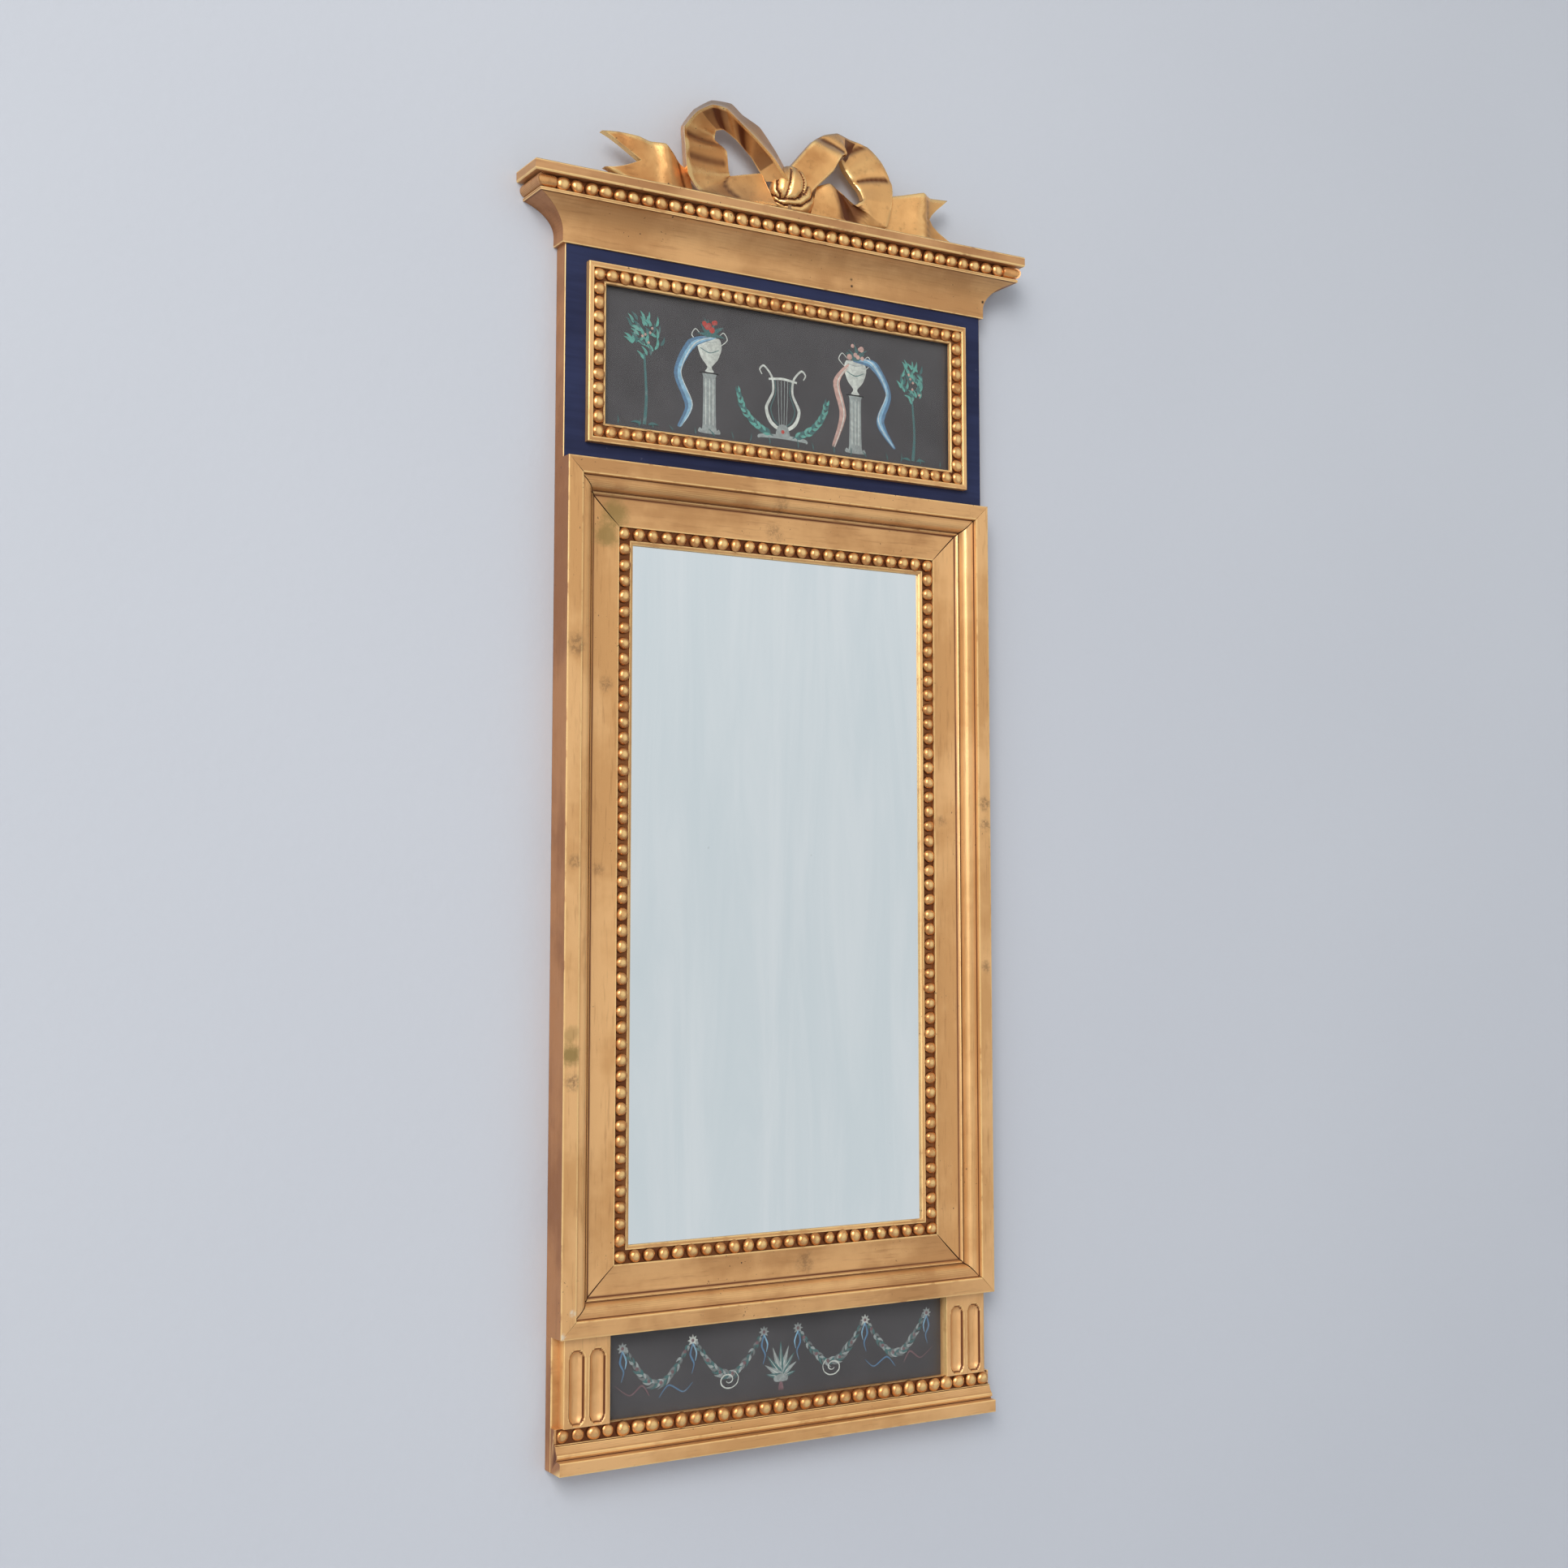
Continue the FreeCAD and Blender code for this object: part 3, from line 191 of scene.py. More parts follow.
def gilding(
    name, light, dark, metallic=0.48, rough=0.40, grain=(1, 1, 1), specks=0.70, spots=(), dust_and_sheen=0.0
):
    """Aged gilding. A value on the mesh paints a highlight on arrises, partly rubbed bright gilding,
    and paints shade in crevices and folds.
    """
    shader = Shader(name)
    cloud = shader.ramp(shader.noise(9.0, 5.0, 0.6), 0.30, 0.72)
    streak = shader.noise(26.0, 4.0, 0.6, shader.stretched(grain), 0.3)
    tone = shader.plus(shader.times(streak, 0.5), shader.times(cloud, 0.55))
    colour = shader.mix(shader.ramp(tone, 0.34, 0.74), dark, light)
    hair = shader.ramp(shader.noise(150.0, 3.0, 0.6, shader.stretched(grain)), 0.54, 0.74)
    colour = shader.mix(shader.times(hair, 0.30), colour, RUBBED)
    wear_and_shading = shader.attribute("wear_and_shading")
    chance = shader.noise(75.0, 3.0, 0.6)
    # Painted highlight on arrises, partly rubbed bright gilding, which is smoother there too.
    worn = shader.times(wear_and_shading, shader.ramp(chance, 0.20, 0.52))
    colour = shader.mix(shader.ramp(worn, 0.06, 0.80), colour, ARRIS_HIGHLIGHT)
    # Painted shade in crevices and folds, where the value is below 0.
    crevice_shade = shader.times(wear_and_shading, -1.0)
    crevice_shade = shader.times(crevice_shade, shader.scaled(cloud, 0.5, 0.75))
    colour = shader.mix(shader.ramp(crevice_shade, 0.04, 0.80), colour, CREVICE_SHADE)
    speck = shader.ramp(shader.noise(420.0, 2.0, 0.5), specks, specks + 0.05)
    patchy = shader.ramp(shader.noise(14.0, 2.0, 0.5), 0.48, 0.62)
    colour = shader.mix(shader.times(speck, patchy), colour, SPECK)
    # Upward faces turn grey-brown: settled dust, and a painted sheen that stands in for the room's
    # reflection.
    if dust_and_sheen:
        normal = shader.node("ShaderNodeNewGeometry").outputs["Normal"]
        upward = shader.node("ShaderNodeSeparateXYZ", {0: normal}).outputs["Z"]
        dust_and_sheen_amount = shader.times(shader.ramp(upward, 0.15, 0.80), dust_and_sheen)
        colour = shader.mix(dust_and_sheen_amount, colour, DUST_SHEEN_GREY)
    for point, radius, edge, tint, strength in spots:
        flecked = tint == GESSO or (tint == SPECK and radius > 1.5)
        amount = shader.times(shader.spot(point, radius, edge, flecked), strength)
        colour = shader.mix(amount, colour, tint)
    roughness = shader.scaled(shader.noise(55.0, 4.0, 0.6), 0.26, rough - 0.13)
    roughness = shader.math("SUBTRACT", roughness, shader.times(worn, 0.10))
    height = shader.plus(shader.noise(700.0, 3.0, 0.6), shader.noise(90.0, 3.0, 0.5))
    height = shader.plus(height, shader.times(streak, 1.2))
    normal = shader.bump(height, 0.30, 0.0003)
    return shader.surface(colour, roughness, normal, metallic)


# Retouched patches, dark spots, losses and nail holes: place, radius, soft edge, colour, strength.
SPOTS = [
    ((-146, -14, 281), 11, 4, OLIVE, 0.75),
    ((-153, -14, 264), 10, 4, OLIVE, 0.75),
    ((-184, -25, -118), 8, 3, OLIVE, 0.85),
    ((-184, -25, -104), 6, 3, OLIVE, 0.45),
    ((-182, -25, -138), 5, 4, SPECK, 0.55),
    ((-183, -25, 178), 7, 5, SPECK, 0.50),
    ((-183, -25, 20), 3, 4, SPECK, 0.55),
    ((-153, -14, 152), 4, 4, SPECK, 0.50),
    ((-158, -14, 15), 3, 4, SPECK, 0.40),
    ((184, -25, 72), 4, 4, SPECK, 0.60),
    ((185, -25, 55), 3, 5, SPECK, 0.50),
    ((184, -25, -60), 3, 4, SPECK, 0.50),
    ((150, -14, 58), 3, 4, SPECK, 0.40),
    ((-6, -15, 303), 7, 5, SPECK, 0.45),
    ((-8, -14, 278), 6, 5, SPECK, 0.40),
    ((20, -14, -283), 6, 5, SPECK, 0.45),
    ((-181, -25, -300), 1.5, 2, GESSO, 0.90),
    ((-189, -25, -316), 1.6, 2, GESSO, 0.90),
    ((61.4, -18, 492), 1.1, 0.8, HOLE, 1.0),
    ((62, -17, 487), 0.9, 0.8, HOLE, 1.0),
    ((73, -21, 511), 0.9, 0.7, HOLE, 1.0),
    ((77, -21, 511), 0.8, 0.7, HOLE, 0.9),
    ((3.5, -21, 507), 0.8, 0.7, HOLE, 0.9),
    ((2.5, -20, 502), 0.7, 0.7, HOLE, 0.9),
    ((192, -17, 494), 1.1, 0.8, HOLE, 1.0),
]
GOLD_LIGHT = srgb(228, 178, 120)
GOLD_DARK = srgb(206, 154, 97)

GILT_TALL = gilding("gilt_stiles", GOLD_LIGHT, GOLD_DARK, grain=(3, 3, 0.25), spots=SPOTS)
GILT_WIDE = gilding(
    "gilt_rails", srgb(216, 166, 110), srgb(188, 138, 86), grain=(0.25, 3, 3), spots=SPOTS
)
GILT_BASE = gilding("gilt_base", GOLD_LIGHT, GOLD_DARK, grain=(0.25, 3, 3))
GILT_SIDE = gilding("gilt_sides", srgb(186, 130, 84), srgb(158, 104, 64), 0.45, 0.46, (3, 3, 0.3))
GILT_CROWN = gilding(
    "gilt_crown", srgb(200, 150, 100), srgb(174, 124, 78), 0.45, 0.44, (0.25, 3, 3), dust_and_sheen=0.7
)
BARE = gilding("bare_edge", srgb(92, 58, 34), srgb(60, 38, 24), 0.0, 0.8)
PEARL_GILT = gilding("gilt_pearls", srgb(226, 166, 104), srgb(198, 134, 78), 0.80, 0.28, specks=0.72)
BOW_GILT = gilding("gilt_bow", srgb(236, 180, 114), srgb(198, 138, 80), 0.70, 0.32, dust_and_sheen=0.8)


def old_wood(name, light, dark, grain):
    """Bare aged pine with its grain along one axis."""
    shader = Shader(name)
    lines = shader.noise(60.0, 6.0, 0.65, shader.stretched(grain), 1.2)
    broad = shader.noise(7.0, 3.0, 0.5)
    tone = shader.plus(shader.times(lines, 0.7), shader.times(broad, 0.3))
    colour = shader.mix(shader.ramp(tone, 0.30, 0.70), dark, light)
    stain = shader.ramp(shader.noise(5.0, 4.0, 0.7), 0.52, 0.75)
    colour = shader.mix(shader.times(stain, 0.5), colour, srgb(70, 50, 34))
    return shader.surface(colour, 0.82, shader.bump(lines, 0.35, 0.0004))


WOOD_TALL = old_wood("bare_wood_tall", srgb(164, 126, 86), srgb(118, 84, 54), (4, 4, 0.22))
WOOD_WIDE = old_wood("bare_wood_wide", srgb(158, 120, 80), srgb(112, 80, 50), (0.22, 4, 4))


def blue_paint():
    """Dark blue distemper on the frieze board, brushed along its length and rubbed at the edges."""
    shader = Shader("blue_paint")
    brush = shader.noise(40.0, 5.0, 0.65, shader.stretched((0.2, 3, 3)), 0.4)
    cloud = shader.noise(11.0, 4.0, 0.6)
    tone = shader.plus(shader.times(brush, 0.5), shader.times(cloud, 0.5))
    colour = shader.mix(shader.ramp(tone, 0.32, 0.70), srgb(24, 29, 58), srgb(38, 45, 78))
    rub = shader.ramp(shader.noise(180.0, 3.0, 0.6), 0.72, 0.78)
    colour = shader.mix(shader.times(rub, 0.5), colour, srgb(92, 92, 110))
    return shader.surface(colour, 0.62, shader.bump(brush, 0.25, 0.0003), specular=0.25)


BLUE = blue_paint()


def panel_paint():
    """The dark painted ground of the panels, slightly clouded and crazed, greyed by a painted
    reflection of the wall in the glass.
    """
    shader = Shader("panel_ground")
    cloud = shader.noise(16.0, 6.0, 0.65)
    colour = shader.mix(shader.ramp(cloud, 0.30, 0.72), srgb(66, 62, 63), srgb(78, 74, 75))
    values = {"Vector": shader.place(), "Scale": 190.0}
    craze = shader.node("ShaderNodeTexVoronoi", values, feature="DISTANCE_TO_EDGE")
    line = shader.ramp(craze.outputs["Distance"], 0.035, 0.0)
    colour = shader.mix(shader.times(line, 0.25), colour, srgb(60, 52, 50))
    return shader.surface(colour, 0.6, shader.bump(cloud, 0.2, 0.0002))


PANEL = panel_paint()


def picture_paint():
    """Thin opaque paint whose colour comes from the mesh, laid in uneven strokes."""
    shader = Shader("picture_paint")
    colour = shader.attribute("paint", "Color")
    stroke = shader.noise(260.0, 5.0, 0.7, None, 0.6)
    thin = shader.ramp(stroke, 0.60, 0.42)
    colour = shader.mix(shader.times(thin, 0.30), colour, srgb(92, 88, 88))
    light = shader.ramp(shader.noise(150.0, 4.0, 0.6), 0.55, 0.75)
    colour = shader.mix(shader.times(light, 0.18), colour, srgb(210, 212, 206))
    return shader.surface(colour, 0.55, shader.bump(stroke, 0.3, 0.0002))


PAINT = picture_paint()


def clear_glass():
    """A thin pane: clear, with a faint even reflection."""
    shader = Shader("clear_glass")
    film = shader.noise(12.0, 4.0, 0.6)
    values = {"Color": (1, 1, 1, 1), "Roughness": shader.scaled(film, 0.06, 0.02)}
    gloss = shader.node("ShaderNodeBsdfGlossy", values)
    clear = shader.node("ShaderNodeBsdfTransparent", {"Color": (0.985, 0.99, 0.99, 1)})
    edge = shader.node("ShaderNodeFresnel", {"IOR": 1.16})
    return shader.blend(edge.outputs[0], clear, gloss)


GLASS = clear_glass()


def silvering():
    """Old tin-mercury silvering: a cool mirror with soft vertical wipe marks and a dim edge."""
    shader = Shader("silvering")
    wipe = shader.noise(9.0, 5.0, 0.6, shader.stretched((3.0, 1, 0.35)), 0.8)
    fine = shader.noise(60.0, 4.0, 0.6, shader.stretched((4.0, 1, 0.3)))
    colour = shader.mix(shader.ramp(wipe, 0.30, 0.75), srgb(222, 231, 234), srgb(232, 238, 240))
    fox = shader.ramp(shader.noise(160.0, 3.0, 0.6), 0.77, 0.82)
    colour = shader.mix(shader.times(fox, 0.5), colour, srgb(150, 150, 146))
    roughness = shader.scaled(shader.ramp(fine, 0.50, 0.80), 0.05, 0.02)
    return shader.surface(colour, roughness, metallic=1.0)


SILVER = silvering()


def old_iron():
    """Forged iron, dark brown with rust in patches."""
    shader = Shader("old_iron")
    rust = shader.ramp(shader.noise(240.0, 5.0, 0.7), 0.45, 0.62)
    colour = shader.mix(rust, srgb(66, 60, 56), srgb(104, 66, 42))
    pits = shader.noise(520.0, 4.0, 0.7)
    roughness = shader.plus(shader.times(rust, 0.3), 0.45)
    return shader.surface(colour, roughness, shader.bump(pits, 0.4, 0.0003), 0.6)


IRON = old_iron()


# ---------------------------------------------------------------- meshes


# Edges turned by more than this stay crisp.
SHARP_EDGE = math.radians(38)
# The distance between a moulding's rows of points.
STATION = 5


def add_piece(name, verts, faces, materials, replaces, slot, wear_and_shading=None, kinds=None, paint=None):
    """A smooth mesh piece on the mirror's body. kinds gives each face's material number."""
    mesh = bpy.data.meshes.new(name)
    mesh.from_pydata([metres(vert) for vert in verts], [], faces)
    for material in materials:
        mesh.materials.append(material)
    # A value per point: a painted highlight above 0, painted shade below 0, partly rubbed gilding on
    # arrises.
    layer = mesh.attributes.new("wear_and_shading", "FLOAT", "POINT")
    if wear_and_shading:
        layer.data.foreach_set("value", wear_and_shading)
    if paint:
        colours = mesh.color_attributes.new("paint", "FLOAT_COLOR", "POINT")
        colours.data.foreach_set("color", [part for colour in paint for part in colour])
    if kinds:
        mesh.polygons.foreach_set("material_index", kinds)
    mesh.polygons.foreach_set("use_smooth", [True] * len(mesh.polygons))
    mesh.validate()
    shape = bmesh.new()
    shape.from_mesh(mesh)
    bmesh.ops.recalc_face_normals(shape, faces=shape.faces)
    shape.to_mesh(mesh)
    shape.free()
    mesh.set_sharp_from_angle(angle=SHARP_EDGE)
    mesh.update()
    piece = bpy.data.objects.new(name, mesh)
    bpy.context.scene.collection.objects.link(piece)
    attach(piece, "mirror")
    if replaces:
        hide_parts(*replaces)
    return piece


def let_in(piece, low, high, kind):
    """Cut a recess between two corners into a piece. kind is the material number of its walls."""
    shape = bmesh.new()
    bmesh.ops.create_cube(shape, size=1.0)
    for vert in shape.verts:
        point = [a if part < 0 else b for a, b, part in zip(low, high, vert.co)]
        vert.co = metres(point)
    mesh = bpy.data.meshes.new("recess")
    shape.to_mesh(mesh)
    shape.free()
    for material in piece.data.materials:
        mesh.materials.append(material)
    mesh.polygons.foreach_set("material_index", [kind] * len(mesh.polygons))
    cutter = bpy.data.objects.new("recess", mesh)
    bpy.context.scene.collection.objects.link(cutter)
    cut = piece.modifiers.new("recess", "BOOLEAN")
    cut.operation = "DIFFERENCE"
    cut.solver = "EXACT"
    cut.object = cutter
    bpy.context.view_layer.update()
    finished = piece.evaluated_get(bpy.context.evaluated_depsgraph_get())
    piece.data = bpy.data.meshes.new_from_object(finished)
    piece.modifiers.clear()
    bpy.data.objects.remove(cutter)


def softened(corners, radius=0.4, spread=1.3, crisp=()):
    """Round a closed section's corners. Gives (a, b, shading): 1 on an arris, for a painted highlight,
    and -1 in a crevice, for painted shade.

    crisp lists corners that are hidden and stay as they are, also counted from the end.
    """
    made = []
    count = len(corners)
    area = sum(
        corners[i][0] * corners[(i + 1) % count][1] - corners[(i + 1) % count][0] * corners[i][1]
        for i in range(count)
    )
    for index, corner in enumerate(corners):
        here = Vector(corner)
        before, after = Vector(corners[index - 1]), Vector(corners[(index + 1) % count])
        back, ahead = before - here, after - here
        hidden = index in crisp or index - count in crisp
        if hidden or min(back.length, ahead.length) < 0.15:
            made.append((*here, 0.0))
            continue
        turn = (-back.x * ahead.y + back.y * ahead.x) * (1 if area > 0 else -1)
        sharp = abs(turn) / (back.length * ahead.length)
        sign = min(1.0, sharp * 1.6) * (1 if turn > 0 else -1)
        near = min(radius, back.length * 0.45, ahead.length * 0.45)
        far_back = min(near + spread, back.length * 0.49)
        far_ahead = min(near + spread, ahead.length * 0.49)
        made.append((*(here + back.normalized() * far_back), 0.0))
        for part, level in ((0.0, 0.6), (0.5, 1.0), (1.0, 0.6)):
            start = here + back.normalized() * near
            end = here + ahead.normalized() * near
            point = start * (1 - part) ** 2 + here * 2 * part * (1 - part) + end * part**2
            made.append((*point, sign * level))
        made.append((*(here + ahead.normalized() * far_ahead), 0.0))
    return made


def arc_points(start, end, bulge, steps=8):
    """Points between start and end on an arc whose middle lies bulge to the left of the chord."""
    start, end = Vector(start), Vector(end)
    chord = end - start
    left = Vector((-chord.y, chord.x)).normalized()
    return [
        tuple(start + chord * (step / steps) + left * bulge * 4 * (step / steps) * (1 - step / steps))
        for step in range(1, steps)
    ]


def bands(count, rings, base=0):
    """The faces between rings of count points that follow each other."""
    faces = []
    for ring in range(rings):
        low, high = base + ring * count, base + (ring + 1) * count
        for index in range(count):
            after = (index + 1) % count
            faces.append((low + index, low + after, high + after, high + index))
    return faces


def sweep(node, section, span, turn, materials, moving, wobble=0.10, kind=None):
    """Draw a section (y, z, painted light and shade) out along local X and put it in place with turn.

    span(y, z) gives the first and last X of each point of the section, so that ends can be
    mitred. Points whose y lies within moving waver a little, as hand-planed wood does. kind
    gives a face's material number from two points of the section, or from None at the ends.
    """
    longest = max(span(y, z)[1] - span(y, z)[0] for y, z, _ in section)
    stations = max(2, int(longest / STATION))
    count = len(section)
    verts, wear_and_shading, kinds = [], [], []
    offset = random.uniform(0, 50)
    for station in range(stations + 1):
        part = station / stations
        for y, z, level in section:
            first, last = span(y, z)
            x = first + (last - first) * part
            sway = noise.noise(Vector((x * 0.02 + offset, y * 0.05, z * 0.05))) * wobble
            dent = noise.noise(Vector((x * 0.15 + offset, y * 0.2, z * 0.2))) * wobble * 0.6
            shift = (sway + dent) if moving[0] < y < moving[1] else 0.0
            verts.append(turn((x, y + shift, z)))
            wear_and_shading.append(level)
    faces = bands(count, stations)
    faces += [tuple(range(count))[::-1], tuple(range(stations * count, len(verts)))]
    if kind:
        round_section = [kind(*pair) for pair in zip(section, section[1:] + section[:1])]
        kinds = round_section * stations + [kind(None, None)] * 2
    name = f"{node}_gilded"
    return add_piece(name, verts, faces, materials, [node], "gilt_wood", wear_and_shading, kinds)


def loop(x0, x1, v0, v1, place):
    """Points round a rectangle, evenly divided, each put in space by place(x, v)."""
    across, up = 42, 8
    flat = [(x0 + (x1 - x0) * i / across, v0) for i in range(across)]
    flat += [(x1, v0 + (v1 - v0) * i / up) for i in range(up)]
    flat += [(x1 + (x0 - x1) * i / across, v1) for i in range(across)]
    flat += [(x0, v1 + (v0 - v1) * i / up) for i in range(up)]
    return [place(*point) for point in flat]


def shell(node, finish, loops, levels, sides, materials, slot):
    """A closed board through rectangular loops. sides gives the materials, ends first and last."""
    count, last = len(loops[0]), len(loops) - 1
    verts = [point for ring in loops for point in ring]
    wear_and_shading = [level for level in levels for _ in range(count)]
    ends = [tuple(range(low, low + count)) for low in (0, last * count)]
    faces = [ends[0], *bands(count, last), ends[1]]
    kinds = [sides[0], *(side for side in sides[1:-1] for _ in range(count)), sides[-1]]
    return add_piece(f"{node}_{finish}", verts, faces, materials, [node], slot, wear_and_shading, kinds)


def turned(width, height, centre, back):
    """The four placements of a frame's sides, as in the model: name, length and transform."""
    return [
        ("top", width, lambda p: (p[0], p[1] + back, centre + height / 2 + p[2])),
        ("bottom", width, lambda p: (-p[0], p[1] + back, centre - height / 2 - p[2])),
        ("left", height, lambda p: (-width / 2 - p[2], p[1] + back, centre + p[0])),
        ("right", height, lambda p: (width / 2 + p[2], p[1] + back, centre - p[0])),
    ]


def frame_section():
    """The mirror frame's section, as (y, z) with the outer edge on z 0 and the back on y 0."""
    front = -FRAME_DEPTH
    corners = [(0, 0), (front + 0.2, 0), (front, -0.4), (front, -12), (front + 3.4, -12.6)]
    corners += [(front + 3.4, -14)]
    corners += arc_points((front + 3.4, -14), (front + 9.8, -22.5), -2.5)
    corners += [(front + 9.8, -22.5), (front + 11.0, -22.5), (front + 11.0, -23.7)]
    corners += [(front + 9.8, -23.7), (front + 12.0, -25.7)]
    corners += arc_points((front + 12.0, -25.7), (front + 12.0, -47.4), 0.5, 6)
    corners += [(front + 12.0, -47.4), (front + 14.6, -47.4), (front + 14.6, -57)]
    corners += [(front + 13.4, -57), (front + 14.6, -60), (front + 16.5, -60)]
    corners += [(front + 16.5, -53), (0, -53)]
    return softened(corners, crisp=(0, -2, -1))


def make_frame():
    """The mirror frame's four sides, with thin open cracks at the mitres."""
    section = frame_section()
    for side, length, turn in turned(FRAME_WIDTH, FRAME_HEIGHT, 0.0, 0.0):
        upright = side in ("left", "right")
        name = f"frame_{side}_{'stile' if upright else 'rail'}"

        def span(y, z, length=length):
            crack = 0.05 + 0.62 * max(0.0, math.sin((-z - 4) / 48 * math.pi))
            half = length / 2 + z - crack
            return (-half, half)

        def kind(point, after):
            if point is None:
                return 3
            if point[0] > -0.01 and after[0] > -0.01:
                return 2
            if point[1] > -0.3 and after[1] > -0.3 and point[0] < 0.5:
                return 1
            return 0

        face = GILT_TALL if upright else GILT_WIDE
        back = WOOD_TALL if upright else WOOD_WIDE
        materials = [face, GILT_SIDE, back, BARE]
        piece = sweep(name, section, span, turn, materials, (-24.6, -0.2), kind=kind)
        if upright:
            middle = -HANGER_ACROSS if side == "left" else HANGER_ACROSS
            low = (middle - RECESS_HALF, -RECESS_DEPTH, RECESS_LOW)
            high = (middle + RECESS_HALF, 1.0, RECESS_TOP)
            let_in(piece, low, high, 2)


def bead(verts, faces, wear_and_shading, centre, radius, height, squash, lean):
    """One round, hand-cut pearl that stands out towards -Y from its centre."""
    rings, steps = 7, 16
    base = len(verts)
    x, y, z = centre
    first, second = random.uniform(0, 7), random.uniform(0, 7)
    for ring in range(rings + 1):
        angle = math.pi / 2 * ring / rings
        girth = radius * math.cos(angle * 0.97) ** 0.8
        rise = height * math.sin(angle)
        for step in range(steps):
            turn = 2 * math.pi * step / steps
            lump = 1 + 0.05 * math.sin(2 * turn + first) + 0.03 * math.sin(3 * turn + second)
            side = girth * lump * math.cos(turn) * squash[0]
            up = girth * lump * math.sin(turn) * squash[1]
            verts.append((x + side + lean * rise, y - rise, z + up))
            # Painted shade at the pearl's foot, rising to a painted highlight on its crown.
            wear_and_shading.append((-0.9, -0.55, -0.2, 0.0, 0.1, 0.35, 0.6, 0.7)[ring])
    faces += bands(steps, rings, base)
    faces.append(tuple(base + rings * steps + step for step in range(steps)))


def pearl_row(turn, bed, line, seat, count, radius, height, span, flaws=()):
    """A string of pearls on its bed, in the same place as the model's faceted string.

    flaws lists the pearls that are worn small.
    """
    left, bottom, right, top = bed
    thick, sunk = 0.5, 0.1
    front = -seat - thick + sunk
    steps = max(2, int((right - left) / 4))
    round_bed = ((-seat, bottom), (front, bottom), (front, top), (-seat, top))
    across = [left + (right - left) * step / steps for step in range(steps + 1)]
    verts = [(x, *point) for x in across for point in round_bed]
    # Painted shade on the bed between the pearls.
    wear_and_shading = [-0.7] * len(verts)
    faces = bands(4, steps) + [(0, 1, 2, 3), tuple(range(steps * 4, steps * 4 + 4))]
    pitch = span / (count - 1)
    for number in range(count):
        x = -span / 2 + pitch * number
        grow = random.uniform(0.95, 1.03)
        tall = height * random.uniform(0.94, 1.0)
        if number in flaws:
            grow, tall = 0.85, height * 0.5
        stretch = (random.uniform(0.96, 1.03), random.uniform(0.96, 1.04))
        centre = (x + random.uniform(-0.25, 0.25), front, line + random.uniform(-0.15, 0.15))
        wide = min(radius * 1.04, pitch / 2 * 0.98) * grow
        bead(verts, faces, wear_and_shading, centre, wide, tall, stretch, random.uniform(-0.10, 0.10))
    return [turn(vert) for vert in verts], faces, wear_and_shading


def add_pearls(node, row):
    """Put a string of round pearls in the place of the model's."""
    verts, faces, wear_and_shading = row
    add_piece(f"{node}_round", verts, faces, [PEARL_GILT], [node], "bright_gilt", wear_and_shading)


def pearl_strings(name, sides, line, half_bed, seat, counts, radius, height, flaws=()):
    """A frame's pearl strings. Those at the sides end at the beds of the other two."""
    for side, length, turn in sides:
        if side in ("top", "bottom"):
            half, span, count = length / 2 - line + half_bed, length - line * 2, counts[0]
        else:
            half, count = length / 2 - line - half_bed - 0.1, counts[1]
            span = (length - line * 2) * (count - 1) / (count + 1)
        bed = (-half, -line - half_bed, half, -line + half_bed)
        worn = flaws if side == "bottom" else ()
        row = pearl_row(turn, bed, -line, seat, count, radius, height, span, worn)
        add_pearls(f"{name}_pearls_{side}", row)


# frieze


FRIEZE_WIDTH = 345.0
FRIEZE_HEIGHT = 137.0
FRIEZE_MIDDLE = 400.0


def make_frieze():
    """The blue board with gilded edges, and the pearled picture frame on it."""
    low, high = FRAME_EDGE, CROWN_FOOT
    wide, tall = FRIEZE_WIDTH / 2 - 12.0, FRIEZE_HEIGHT / 2 - 12.0

    def ring(x0, x1, z0, z1, y):
        return loop(x0, x1, z0, z1, lambda x, z: (x, y, z))

    loops = [
        ring(-HALF, HALF, low, high, 0),
        ring(-HALF, HALF, low, high, -13.6),
        ring(-HALF, HALF, low, high, -14.6),
        ring(-189.6, 189.6, low + 0.4, high - 0.4, -BOARD),
        ring(-188.6, 188.6, low + 1.4, high - 1.4, -BOARD),
        ring(-wide, wide, FRIEZE_MIDDLE - tall, FRIEZE_MIDDLE + tall, -BOARD),
        ring(-wide, wide, FRIEZE_MIDDLE - tall, FRIEZE_MIDDLE + tall, -11.5),
    ]
    # Painted highlights on the board's front arrises.
    levels = (0.0, 0.0, 1.0, 0.8, 0.0, 0.0, 0.0)
    materials = [BLUE, GILT_SIDE, WOOD_WIDE]
    sides = (2, 1, 1, 1, 0, 0, 2, 2)
    shell("frieze_board", "painted", loops, levels, sides, materials, "blue_paint")

    corners = [(0, 0), (-5.1, 0), (-5.4, -0.5), (-5.4, -3.7), (-4.9, -4.2), (-2.4, -4.2)]
    corners += [(-2.4, -13.2), (-3.4, -13.5), (-3.4, -14.6), (-2.9, -15), (0, -15)]
    section = softened(corners, 0.3, 0.8, crisp=(0, -1))
    sides = turned(FRIEZE_WIDTH, FRIEZE_HEIGHT, FRIEZE_MIDDLE, -BOARD)
    for side, length, turn in sides:

        def span(y, z, length=length):
            half = length / 2 + z - 0.06 - (0.16 if z < -4 else 0)
            return (-half, half)

        face = GILT_TALL if side in ("left", "right") else GILT_WIDE
        sweep(f"frieze_frame_{side}", section, span, turn, [face], (-5.3, -0.2), 0.12)
    pearl_strings("frieze", sides, 8.7, 4.4, 2.4, (31, 10), 5.1, 3.4, (24,))


# cornice


# The cornice stands out less in front of the board than at its sides.
FRONT_OUT, SIDE_OUT = 20.0, 33.5
SIDE_SCALE = SIDE_OUT / FRONT_OUT
# The height of the middle of its pearls, from the mirror frame's centre.
CORNICE_PEARLS = 518.95


